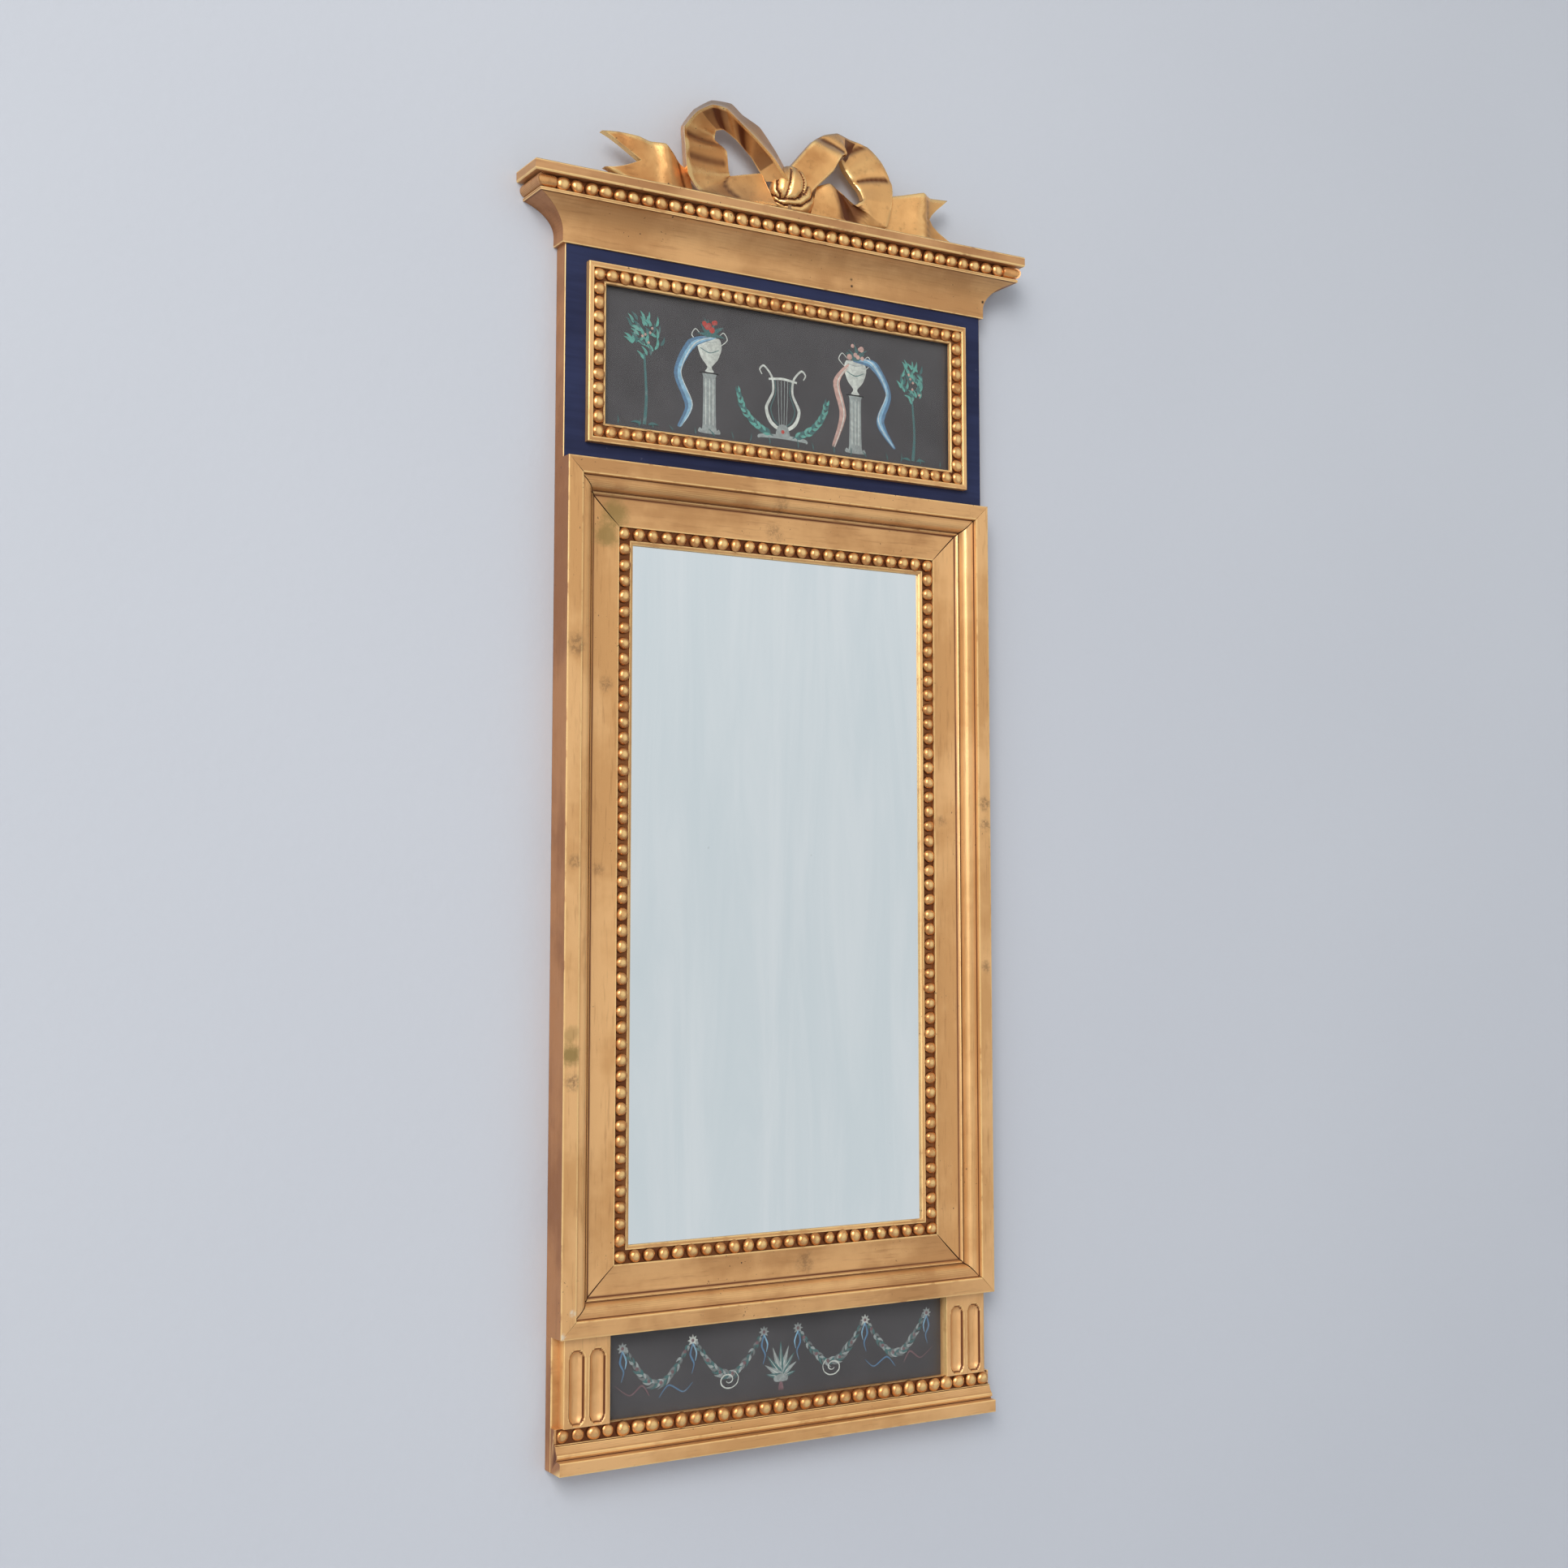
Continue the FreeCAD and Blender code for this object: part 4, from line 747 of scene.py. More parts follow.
def cove_section(plain):
    """The cornice's section as (projection, height) points from its foot to under the crown.

    A plain section has a round bead in the place of the pearls, for the sides.
    """
    points = [(0, 0), (1.8, 0), (1.8, 8)]
    centre, radius, rise, steps = (27.8, 7.83), 26.0, 23, 12
    for step in range(1, steps):
        up = 8 + rise * step / steps
        points.append((centre[0] - math.sqrt(radius**2 - (up - centre[1]) ** 2), up))
    points += [(16, 31), (16.8, 31), (16.8, 33.4)]
    if plain:
        points.append((16, 33.4))
        for step in range(steps + 1):
            turn = math.radians(-78 + 156 * step / steps)
            out = 16 + (4.9 * math.cos(turn) - 1.0) / SIDE_SCALE
            points.append((out, 38.95 + 4.9 * math.sin(turn)))
        points.append((16, 44.5))
    else:
        points += [(12.4, 33.4), (12.4, 44.5)]
    points.append((0, 44.5))
    return points


def make_cornice():
    """Mitred cove mouldings on three sides, the pearls, and the crown board."""
    corners = [(-BOARD - out, CORNICE_FOOT + up) for out, up in cove_section(False)]
    section = softened(corners, 0.4, 1.2, crisp=(0, -1))

    def span(y, z):
        reach = HALF + (-y - BOARD) * SIDE_SCALE - 0.08
        return (-reach, reach)

    sweep("cornice_front", section, span, lambda p: p, [GILT_WIDE], (-34.0, -15.3), 0.12)
    corners = [(-out * SIDE_SCALE, CORNICE_FOOT + up) for out, up in cove_section(True)]
    section = softened(corners, 0.4, 1.2, crisp=(0, -1))
    for name, sign in (("cornice_return_left", -1), ("cornice_return_right", 1)):
        sweep(
            name, section, lambda y, z: (0.0, BOARD - y / SIDE_SCALE - 0.08),
            lambda p, sign=sign: (sign * (HALF - p[1]), -p[0], p[2]), [GILT_SIDE], (-33.0, -0.3), 0.12,
        )

    def ring(inset, z):
        wide = HALF + SIDE_OUT - inset
        return loop(-wide, wide, -35 + inset, 0, lambda x, y: (x, y, z))

    rounded = ((1.8, 524.5), (0.7, 524.5), (0, 525.3), (0, 526.5))
    rounded += ((0, 531.2), (0, 532.2), (0.8, 533), (2.2, 533))
    loops = [ring(*edge) for edge in rounded]
    # Painted highlights on the crown board's rounded arrises.
    levels = (0.0, 0.7, 0.9, 0.0, 0.0, 0.9, 0.9, 0.0)
    shell("cornice_top_board", "gilded", loops, levels, (0,) * 9, [GILT_CROWN], "gilt_wood")

    seat, reach = 27.4, HALF + 12.4 * SIDE_SCALE - 0.1
    bed, span = (-reach, 513.6, reach, 524.4), (reach - 11.7) * 2
    row = pearl_row(lambda p: p, bed, CORNICE_PEARLS, seat, 35, 5.6, 4.3, span)
    for sign in (-1, 1):
        add_corner_block(row, sign, reach, seat)
    add_pearls("cornice_pearls", row)


def add_corner_block(row, sign, reach, seat):
    """A half-round block that ends the row of pearls at a corner of the cornice."""
    verts, faces, wear_and_shading = row
    base, steps = len(verts), 12
    for x, grow in ((reach - 6.6, 0.45), (reach - 6.0, 0.85), (reach - 4.6, 1.0), (None, 1.0)):
        for step in range(steps + 1):
            turn = math.radians(-90 + 180 * step / steps)
            out = seat + 5.4 * math.cos(turn) * grow
            up = CORNICE_PEARLS + 4.9 * math.sin(turn) * grow
            at = x if x is not None else HALF + (out - BOARD) * SIDE_SCALE - 0.1
            verts.append((sign * at, -out, up))
            # Painted shade where the block meets the bed, a faint painted highlight over the rest.
            wear_and_shading.append(-0.8 if step in (0, steps) else 0.1)
    for ring in range(3):
        low = base + ring * 13
        for point in range(low, low + steps):
            faces.append((point, point + 1, point + 14, point + 13))
        faces.append((low, low + 13, low + 25, low + 12))
    faces += [tuple(range(base, base + 13)), tuple(range(base + 39, base + 52))]


# base


def fluted_block(name, middle):
    """A block with two round-headed flutes, stopped at the foot, cut into its front."""
    left, right, low, high = middle - 18.25, middle + 18.25, BASE_TOP, -FRAME_EDGE
    front, head, foot = -18.4, -327.5 - 6.3, low + 8.0
    across, up = 64, 58
    verts, wear_and_shading, faces = [], [], []
    for row in range(up + 1):
        z = low + (high - low) * row / up
        for column in range(across + 1):
            x = left + (right - left) * column / across
            y, level = front, 0.0
            for centre in (middle - 8.1, middle + 8.1):
                over = max(0.0, z - head, (foot - z) * 0.9)
                apart = math.hypot(x - centre, over)
                if apart < 6.2:
                    y = -20.4 + math.sqrt(6.6**2 - apart**2)
                    # Painted shade down the sides of each flute, painted highlights on its rim and on
                    # the block's edges.
                    level = -0.75 if apart > 5.2 else (-0.1 if apart > 2.5 else 0.15)
                elif apart < 7.0:
                    level = 0.7
            edge = min(x - left, right - x)
            if edge < 0.5:
                y, level = y + (0.5 - edge) * 0.8, 0.9
            y += noise.noise(Vector((x * 0.12, z * 0.10, middle))) * 0.14 * (1 if -18 > y else 0.6)
            verts.append((x, max(front, y), z))
            wear_and_shading.append(level)
    wide = across + 1
    for row in range(up):
        for column in range(across):
            at = row * wide + column
            faces.append((at, at + 1, at + 1 + wide, at + wide))
    rim = list(range(wide)) + [row * wide + across for row in range(1, up + 1)]
    rim += [up * wide + column for column in range(across - 1, -1, -1)]
    rim += [row * wide for row in range(up - 1, 0, -1)]
    base = len(verts)
    for at in rim:
        verts.append((verts[at][0], -9.0, verts[at][2]))
        wear_and_shading.append(0.0)
    for index in range(len(rim)):
        after = (index + 1) % len(rim)
        faces.append((rim[index], base + index, base + after, rim[after]))
    faces.append(tuple(range(base, base + len(rim))))
    add_piece(f"{name}_carved", verts, faces, [GILT_TALL], [name], "gilt_wood", wear_and_shading)


def make_base():
    """The base board, fluted blocks, moulding and pearls under the mirror frame."""
    def ring(inset, y):
        wide = HALF - inset
        return loop(-wide, wide, -412.3 + inset, -FRAME_EDGE, lambda x, z: (x, y, z))

    loops = [ring(0, 0), ring(0, -7.6), ring(0, -8.6), ring(0.4, -9), ring(1.6, -9)]
    materials = [GILT_WIDE, WOOD_WIDE, GILT_SIDE]
    # Painted highlights on the base board's front edges.
    levels = (0.0, 0.0, 0.8, 0.8, 0.0)
    shell("base_board", "gilded", loops, levels, (1, 2, 2, 0, 0, 0), materials, "gilt_wood")
    fluted_block("fluted_block_left", -165.95)
    fluted_block("fluted_block_right", 165.95)
    corners = [(-9, 0), (-15, 0), (-15, -10.4), (-16.4, -10.6), (-16.4, -11.4), (-17.2, -11.6)]
    corners += arc_points((-17.2, -11.6), (-19.4, -16.4), 0.5, 5)
    corners += [(-19.4, -16.4), (-20.5, -17.2), (-20.7, -18.6), (-20.2, -19.8), (-18.6, -19.8)]
    corners += [(-18.6, -21.2), (-25, -21.4), (-25, -30.8), (-9, -30.8)]
    section = softened(corners, 0.35, 1.0, crisp=(0, -1))

    def kind(point, after):
        return 1 if point is None else 0

    sweep(
        "base_moulding", section, lambda y, z: (-HALF, HALF), lambda p: (p[0], p[1], BASE_TOP + p[2]),
        [GILT_BASE, GILT_SIDE], (-24.6, -9.2), 0.15, kind,
    )
    reach = 188.3
    bed, span = (-reach, BASE_TOP - 10.3, reach, BASE_TOP), (reach - 4.6) * 2
    line = BASE_TOP - 5.2
    row = pearl_row(lambda p: p, bed, line, 15.0, 32, 5.4, 4.2, span, (0, 1, 3))
    add_pearls("base_pearls", row)


# bow


# The bow's back and front planes, and the thickness of its ribbons.
BOW_BACK, BOW_FRONT, RIBBON = 8.0, 28.0, 6.0
# Points along the ribbons: the left loop's outer edge, front arris and inner edge as (across, up),
# and the others' two front edges as (across, out, up). Up is from the crown board's top.
LEFT_LOOP = [
    ((-12, 5), (-14, 3), (-22, 33)),
    ((-38, 6), (-46, 2), (-43, 27)),
    ((-74, 6), (-84, 3), (-49, 25)),
    ((-90, 20), (-94, 15), (-50, 28)),
    ((-92, 40), (-96, 35), (-52, 44)),
    ((-93, 56), (-97, 51), (-63, 51)),
    ((-82, 72), (-86, 65), (-62, 58)),
    ((-66, 83), (-73, 73), (-55, 60)),
    ((-48, 84), (-61, 73), (-45, 54)),
    ((-38, 77), (-49, 65), (-37, 48)),
    ((-22, 70), (-36, 56), (-30, 41)),
    ((-8, 54), (-18, 42), (-25, 34)),
    ((6, 34), (-4, 26), (-18, 26)),
]
RIGHT_LOOP = [
    ((-4, 20, 28), (14, 22, 12)),
    ((4, 20, 42), (23, 24, 25)),
    ((24, 20, 66), (39, 27, 42)),
    ((37, 16, 75), (47, 27, 56)),
    ((51, 14, 80), (54, 24, 60)),
    ((64, 12, 78), (52, 19, 56)),
    ((81, 13, 75), (57, 16, 50)),
    ((92, 17, 62), (63, 18, 41)),
    ((100, 20, 45), (68, 21, 33)),
    ((98, 24, 27), (69, 24, 25)),
    ((91, 26, 5), (60, 24, 19)),
    ((70, 20, 2), (48, 19, 31)),
    ((49, 25, 2), (38, 23, 33)),
    ((20, 21, 2), (28, 19, 30)),
]
# Cross folds of the ribbons: place on the outer or front edge, place on the inner edge, height
# and width. Places are counted in the points of the ribbon's table.
LEFT_FOLDS = [
    (1.0, 2.0, -1.8, 0.14), (2.2, 2.3, 0.6, 0.35), (3.2, 2.6, 1.3, 0.28), (3.75, 3.4, -1.3, 0.22),
    (4.2, 4.2, 0.6, 0.3), (4.75, 4.7, -2.0, 0.26), (5.2, 5.4, 0.9, 0.22), (7.3, 7.0, -1.0, 0.25),
    (8.4, 8.0, 1.0, 0.3), (9.2, 9.0, -1.2, 0.25), (10.0, 9.8, 0.8, 0.3),
]
RIGHT_FOLDS = [
    (2.0, 2.9, 1.7, 0.24), (2.5, 3.7, -1.8, 0.24), (3.2, 4.4, 0.6, 0.3), (5.9, 4.8, -2.0, 0.28),
    (6.7, 6.2, 0.7, 0.35), (7.3, 6.7, 0.6, 0.25), (7.85, 7.15, -1.6, 0.18), (11.0, 9.3, 1.3, 0.22),
    (12.0, 11.2, -0.9, 0.25),
]
LEFT_TAIL_FOLDS = [(1.4, 1.4, -1.0, 0.3), (4.0, 3.8, 0.6, 0.5), (6.0, 5.6, -0.7, 0.3)]
RIGHT_TAIL_FOLDS = [(0.7, 0.7, -0.8, 0.3), (2.9, 2.9, 0.8, 0.22), (3.5, 3.4, -0.7, 0.25)]
LEFT_TAIL = [
    ((-90, 20, 21), (-84, 20, 0)),
    ((-96, 20, 24), (-88, 20, 0)),
    ((-104, 23, 31), (-97, 24, 0)),
    ((-112, 27, 35), (-108, 28, 0)),
    ((-123, 22, 36), (-118, 25, 0)),
    ((-134, 25, 37), (-127, 24, 0)),
    ((-149, 21, 39), (-145, 22, 4)),
    ((-162, 19, 38), (-160, 20, 10)),
]
RIGHT_TAIL = [
    ((88, 20, 31), (80, 20, 0)),
    ((94, 20, 33), (84, 20, 0)),
    ((108, 23, 36), (104, 23, 0)),
    ((126, 28, 40), (126, 28, 0)),
    ((137, 22, 39), (140, 22, 1)),
    ((157, 18, 42), (162, 19, 4)),
]
# The knot's outline and the lines of its folds, as (across, up).
KNOT = [
    (-16, 22), (-13, 9), (-4, 3), (9, 1), (19, 5), (24, 16), (21, 29), (13, 39), (1, 42), (-10, 36),
]
KNOT_FOLDS = [
    [(-7, 37), (-11.5, 28), (-12, 19), (-8, 13)],
    [(1, 38), (-0.5, 30), (-2, 22), (-5, 13)],
    [(9, 37), (12, 29), (11, 21), (7, 15)],
    [(-18, 17), (-9, 12), (3, 12.5), (13, 19), (17, 28), (16, 35)],
    [(-16, 12), (-5, 7.5), (9, 8.5), (19, 16), (23, 25)],
]


def flow(points, at):
    """A smooth curve through points, each a tuple, at a place counted in points."""
    last = len(points) - 1
    index = min(int(at), last - 1)
    part = at - index
    p0, p1 = points[max(index - 1, 0)], points[index]
    p2, p3 = points[index + 1], points[min(index + 2, last)]
    made = []
    for a, b, c, d in zip(p0, p1, p2, p3):
        turn_in, turn_out = (c - a) * 0.42, (d - b) * 0.42
        square, cube = part * part, part**3
        made.append(
            b * (2 * cube - 3 * square + 1)
            + turn_in * (cube - 2 * square + part)
            + c * (3 * square - 2 * cube)
            + turn_out * (cube - square)
        )
    return made


def folded(points, at):
    """A line through points that keeps part of its kinks, as folds in a ribbon."""
    index = min(int(at), len(points) - 2)
    straight = lerp(points[index], points[index + 1], at - index)
    return lerp(straight, flow(points, at), 0.45)


def carved_strip(node, rows, levels):
    """A closed ribbon through rows of points that go round it. levels(along, index) gives its painted
    highlights and painted shade, to which a point's fourth value adds.
    """
    count, last = len(rows[0]), len(rows) - 1
    verts, wear_and_shading = [], []
    for number, row in enumerate(rows):
        for index, point in enumerate(row):
            verts.append((point[0], -point[1], point[2] + CROWN))
            tone = point[3] if len(point) > 3 else 0.0
            wear_and_shading.append(max(-1.0, min(1.0, levels(number / last, index) + tone)))
    faces = bands(count, last)
    for low in (0, last * count):
        high = low + count - 1
        for index in range(count // 2 - 1):
            faces.append((low + index, low + index + 1, high - 1 - index, high - index))
    add_piece(f"{node}_carved", verts, faces, [BOW_GILT], [node], "bright_gilt", wear_and_shading)


def lerp(first, second, part):
    """A point part of the way from first to second."""
    return [a + (b - a) * part for a, b in zip(first, second)]


def relief(folds, at, part):
    """Height and painted shading that a ribbon's cross folds give at a place along and across it:
    painted highlights on ridges, painted shade in valleys.
    """
    height = tone = 0.0
    for first, last, rise, width in folds:
        near = math.exp(-(((at - first - (last - first) * part) / width) ** 2))
        height += rise * near
        tone += (0.4 if rise > 0 else -0.65) * min(1.0, abs(rise)) * near
    return height, tone


def make_left_loop():
    """The left loop: an outer face and a broad inner face that meet in a front arris with a painted
    highlight.
    """
    depths = (14, BOW_FRONT, 16)
    outer, front, inner = (
        [(rails[k][0], depths[k], rails[k][1]) for rails in LEFT_LOOP] for k in range(3)
    )
    rows, stations = [], 170
    for number in range(stations + 1):
        at = (len(LEFT_LOOP) - 1) * number / stations
        o, f, i = folded(outer, at), folded(front, at), folded(inner, at)
        back = lerp(o, i, 0.5)
        back[1] = BOW_BACK
        row = [lerp(o, back, 0.08)]
        for part in (0.03, 0.3, 0.65, 0.93):
            row.append(lerp(o, f, part))
        row.append(f)
        for part in (0.05, 0.12, 0.3, 0.5, 0.7, 0.88, 0.97):
            point = lerp(f, i, part)
            height, tone = relief(LEFT_FOLDS, at, part)
            point[1] -= (1.6 - height) * math.sin(part * math.pi) ** 0.6
            row.append([*point, tone])
        row += [lerp(i, back, part) for part in (0.06, 0.25, 0.5, 0.75)]
        row += [back] + [lerp(back, o, part) for part in (0.25, 0.5, 0.75, 0.9)]
        rows.append(row)

    # Painted highlight on the front arris, painted shade on the faces under the arch.
    def levels(along, index):
        arch = 0.52 < along < 0.93
        if index in (5, 6):
            return 1.0
        if index == 4:
            return 0.6
        if index == 12:
            return 0.55
        if 7 <= index <= 11:
            return -0.5 if arch else 0.0
        return -0.35 if arch and index < 4 else 0.0

    carved_strip("bow_loop_left", rows, levels)


def flat_rows(edges, folds, stations, lowest, end=None):
    """Rows round an even ribbon given by its two front edges, none of it under lowest.

    end(part) gives how far the ribbon runs, so that a notch can be cut into its end.
    """
    outer = [edge[0] for edge in edges]
    inner = [edge[1] for edge in edges]
    parts = (0.0, 0.03, 0.12, 0.25, 0.38, 0.5, 0.62, 0.75, 0.88, 0.97, 1.0)
    rows = []
    for number in range(stations + 1):
        front, back = [], []
        for part in parts:
            most = end(part) if end else 1.0
            at = (len(edges) - 1) * (most * number / stations)
            point = lerp(folded(outer, at), folded(inner, at), part)
            height, tone = relief(folds, at, part)
            round_off = 0.9 if part in (0.0, 1.0) else (0.15 if part in (0.03, 0.97) else 0.0)
            swell = height * (0.45 + 0.55 * math.sin(part * math.pi))
            x, depth, z = point[0], point[1], max(lowest, point[2])
            front.append([x, min(BOW_FRONT, depth - round_off + swell), z, tone])
            back.append([x, max(BOW_BACK, depth - RIBBON), z])
        rows.append(front + back[::-1])
    return rows


def make_right_loop():
    """The right loop: one even ribbon, with painted shade where it passes under itself."""
    rows = flat_rows(RIGHT_LOOP, RIGHT_FOLDS, 180, 0.2)

    # Painted highlights on the edges, painted shade on the back and where the ribbon passes under
    # itself.
    def levels(along, index):
        if index > 10:
            return -0.3
        if index in (0, 1, 9, 10):
            return 0.5
        at, part = along * (len(RIGHT_LOOP) - 1), index / 10
        under = 11.0 - 1.7 * part < at < 12.0 - 0.8 * part or 4.6 < at < 5.3 + part * 0.3
        return -0.6 if under else 0.0

    carved_strip("bow_loop_right", rows, levels)


def make_tails():
    """The two tails, notched at their ends."""
    def notch(part):
        return 1 - 0.27 * (1 - abs(2 * part - 1)) ** 0.9

    tails = (("left", LEFT_TAIL, LEFT_TAIL_FOLDS), ("right", RIGHT_TAIL, RIGHT_TAIL_FOLDS))
    for name, edges, folds in tails:
        rows = flat_rows(edges, folds, 60, 0.1, notch)

        # Painted highlights on the tails' edges and notched ends, faint painted shade on their backs.
        def levels(along, index):
            if along > 0.985 or index in (0, 1, 9, 10):
                return 0.8
            return 0.05 if index < 11 else -0.2

        carved_strip(f"bow_tail_{name}", rows, levels)


def nearest(point, line):
    """Distance from a point to a line of points, in a plane."""
    best = 99.0
    for start, end in zip(line, line[1:]):
        start, end, here = Vector(start), Vector(end), Vector(point)
        along = end - start
        part = max(0.0, min(1.0, (here - start).dot(along) / along.length_squared))
        best = min(best, (start + along * part - here).length)
    return best


def make_knot():
    """The knot: a rounded boss with wrapped folds cut into it and a band across its foot."""
    count, rings = 120, 36
    closed = KNOT + KNOT[:4]
    outline = [flow(closed, 1 + len(KNOT) * number / count) for number in range(count)]
    middle = (4.0, 21.0)
    verts, wear_and_shading = [], []
    for ring in range(rings + 1):
        part = ring / rings
        if part < 0.3:
            depth = BOW_BACK + 9.0 * part / 0.3
            grow = 1 - 0.12 * (1 - part / 0.3) ** 2
        else:
            turn = (part - 0.3) / 0.7 * math.pi / 2
            depth = 17.0 + 11.0 * math.sin(turn)
            grow = max(0.01, math.cos(turn)) ** 0.8
        for x, z in outline:
            x, z = middle[0] + (x - middle[0]) * grow, middle[1] + (z - middle[1]) * grow
            lean = (BOW_FRONT - depth) * 0.16
            # Painted shade in the cut folds and on the back, painted highlights beside the folds.
            cut, level = 0.0, 0.15
            if part > 0.25:
                for line in KNOT_FOLDS:
                    apart = nearest((x, z), line)
                    cut += 2.6 * math.exp(-apart / 1.5)
                    if apart < 0.8:
                        level = -1.0
                    elif 1.6 < apart < 3.2 and level > -0.5:
                        level = max(level, 0.7)
            verts.append((x + lean, -min(BOW_FRONT, depth - cut), max(0.1, z) + CROWN))
            wear_and_shading.append(level if part > 0.1 else -0.5)
    faces = bands(count, rings)
    faces += [tuple(range(count)), tuple(range(rings * count, (rings + 1) * count))]
    add_piece("bow_knot_carved", verts, faces, [BOW_GILT], ["bow_knot"], "bright_gilt", wear_and_shading)


# painted panels


class Painting:
    """Strokes and leaves of thin paint on a panel's front, with their own colours."""

    # how far each stroke lies in front of the one before, and how far the last may lie
    step, most = 0.012, 0.66

    def __init__(self, middle, depth):
        self.middle = middle
        self.depth = depth
        self.lift = 0.0
        self.verts, self.faces, self.colours = [], [], []

    def layer(self):
        self.lift = min(self.lift + self.step, self.most)
        return -(self.depth + self.lift)

    def add(self, x, y, z, colour, shade):
        self.verts.append((x, y, self.middle + z))
        self.colours.append((*(part * shade for part in colour[:3]), 1))

    def stroke(self, points, widths, colour, fade=0.0, steps=7):
        """A brush line through points whose width follows widths."""
        y = self.layer()
        last = len(points) - 1
        total = last * steps
        base = len(self.verts)
        for number in range(total + 1):
            at = number / steps
            here = Vector(flow(points, min(at, last)))
            ahead = Vector(flow(points, min(at + 0.05, last)))
            behind = Vector(flow(points, max(at - 0.05, 0)))
            along = (ahead - behind).normalized()
            part = number / total
            slot = part * (len(widths) - 1)
            index = min(int(slot), len(widths) - 2)
            width = widths[index] + (widths[index + 1] - widths[index]) * (slot - index)
            width *= 1 + 0.12 * noise.noise(Vector((here.x * 0.3, here.y * 0.3, self.lift * 90)))
            side = Vector((-along.y, along.x)) * width / 2
            for point in (here - side, here + side):
                self.add(point.x, y, point.y, colour, 1 - fade * part)
        for at in range(base, base + total * 2, 2):
            self.faces.append((at, at + 1, at + 3, at + 2))

    def leaf(self, start, angle, length, width, colour, bend=0.0):
        """A pointed leaf from its foot."""
        points = []
        for part in (0, 0.33, 0.66, 1.0):
            swing = math.radians(angle) + bend * part
            x, z = math.cos(swing) * length * part, math.sin(swing) * length * part
            points.append((start[0] + x, start[1] + z))
        self.stroke(points, (width * 0.25, width, width * 0.9, width * 0.5, 0.15), colour, 0.15, 4)

    def patch(self, outline, colour, shade=0.25, steps=3):
        """A filled shape through an outline, darker to the right."""
        y = self.layer()
        closed = list(outline) + list(outline[:3])
        ring = [flow(closed, 1 + number / steps) for number in range(len(outline) * steps)]
        low, high = min(p[0] for p in ring), max(p[0] for p in ring)
        base = len(self.verts)
        for x, z in ring:
            self.add(x, y, z, colour, 1 - shade * (x - low) / (high - low))
        self.faces.append(tuple(range(base, base + len(ring))))

    def dot(self, x, z, radius, colour):
        ring = [around(x, z, step * math.pi / 4, radius) for step in range(8)]
        self.patch(ring, colour, 0.2, 1)

    def finish(self, name):
        materials, slot = [PAINT], "painted_panel"
        add_piece(name, self.verts, self.faces, materials, [], slot, paint=self.colours)


def around(x, z, turn, far, tall=1.0):
    """The point far from (x, z) in a direction, with its height stretched by tall."""
    return (x + math.cos(turn) * far, z + math.sin(turn) * far * tall)


def heading(line, at):
    """A point on a line and the direction of the line there, in degrees."""
    here, ahead = flow(line, at), flow(line, min(at + 0.05, len(line) - 1))
    return here, math.degrees(math.atan2(ahead[1] - here[1], ahead[0] - here[0]))


TEAL = srgb(104, 172, 158)
TEAL_DIM = srgb(70, 112, 110)
CHALK = srgb(214, 216, 206)
GREY = srgb(162, 168, 164)
SKY = srgb(140, 182, 206)
SKY_DIM = srgb(90, 126, 156)
ROSE = srgb(214, 172, 158)
RED = srgb(192, 70, 58)
GREY_DIM = srgb(122, 126, 124)
ROSE_DIM = srgb(132, 96, 100)


def urn(paint, x, foot, size):
    """A footed urn with two handles on a tall fluted stand."""
    def placed(*pairs):
        return [(x + a * size, foot + b * size) for a, b in pairs]

    def mirrored(*half):
        left = [(-a, b) for a, b in half]
        return placed(left[0], *half, *left[:0:-1])

    paint.lift = 0.0
    paint.patch(mirrored((7, 0), (6.4, 3), (4.6, 4), (4.2, 34), (6, 36)), GREY)
    for a in (-2.4, 0.1, 2.5):
        paint.stroke(placed((a, 5), (a, 18), (a, 33)), (0.5, 0.7, 0.4), CHALK)
    body = mirrored((3, 37), (1.4, 40), (5.6, 45), (8.2, 52), (7.2, 57), (5, 58))
    paint.patch(body, CHALK)
    for sign in (-1, 1):
        handle = placed((sign * 8, 54), (sign * 12, 58), (sign * 9.5, 62), (sign * 6, 59))
        paint.stroke(handle, (0.5, 0.9, 0.7, 0.4), CHALK)
    paint.stroke(placed((-6.4, 51), (0, 48.6), (6.4, 51)), (0.5, 0.8, 0.5), TEAL_DIM)
    paint.stroke(placed((-5.4, 56), (0, 55), (5.4, 56)), (0.5, 0.7, 0.5), GREY)


def tree(paint, x, foot, size):
    """A little round tree on a bent stem, with two leaves at its foot."""
    paint.lift = 0.0
    top = foot + 44 * size
    stem = [(x, foot), (x + 1.5, foot + 22), (x - 0.5, top)]
    paint.stroke(stem, (3.0, 2.2, 1.6), TEAL_DIM)
    for number in range(46):
        angle = random.uniform(0, 360)
        far = random.uniform(0, 1) ** 0.5 * 11 * size
        spot = around(x, top + 12, math.radians(angle), far, 1.25)
        shade = TEAL if number % 3 else TEAL_DIM
        paint.leaf(spot, random.uniform(40, 140), 6.5 * size, 2.4, shade, 0.4)
    for number in range(5):
        spot = (x + random.uniform(-8, 8), top + 12 + random.uniform(-9, 9))
        paint.dot(*spot, 1.1, ROSE)
    paint.leaf((x - 3, foot), 150, 9, 2.2, TEAL_DIM, 0.5)
    paint.leaf((x + 3, foot), 30, 9, 2.2, TEAL_DIM, -0.5)


def cloth(paint, points, *folds):
    """A hanging cloth, as strokes over each other: shift across and up, widths and colour."""
    for across, up, widths, colour in folds:
        paint.stroke([(a + across, b + up) for a, b in points], widths, colour)


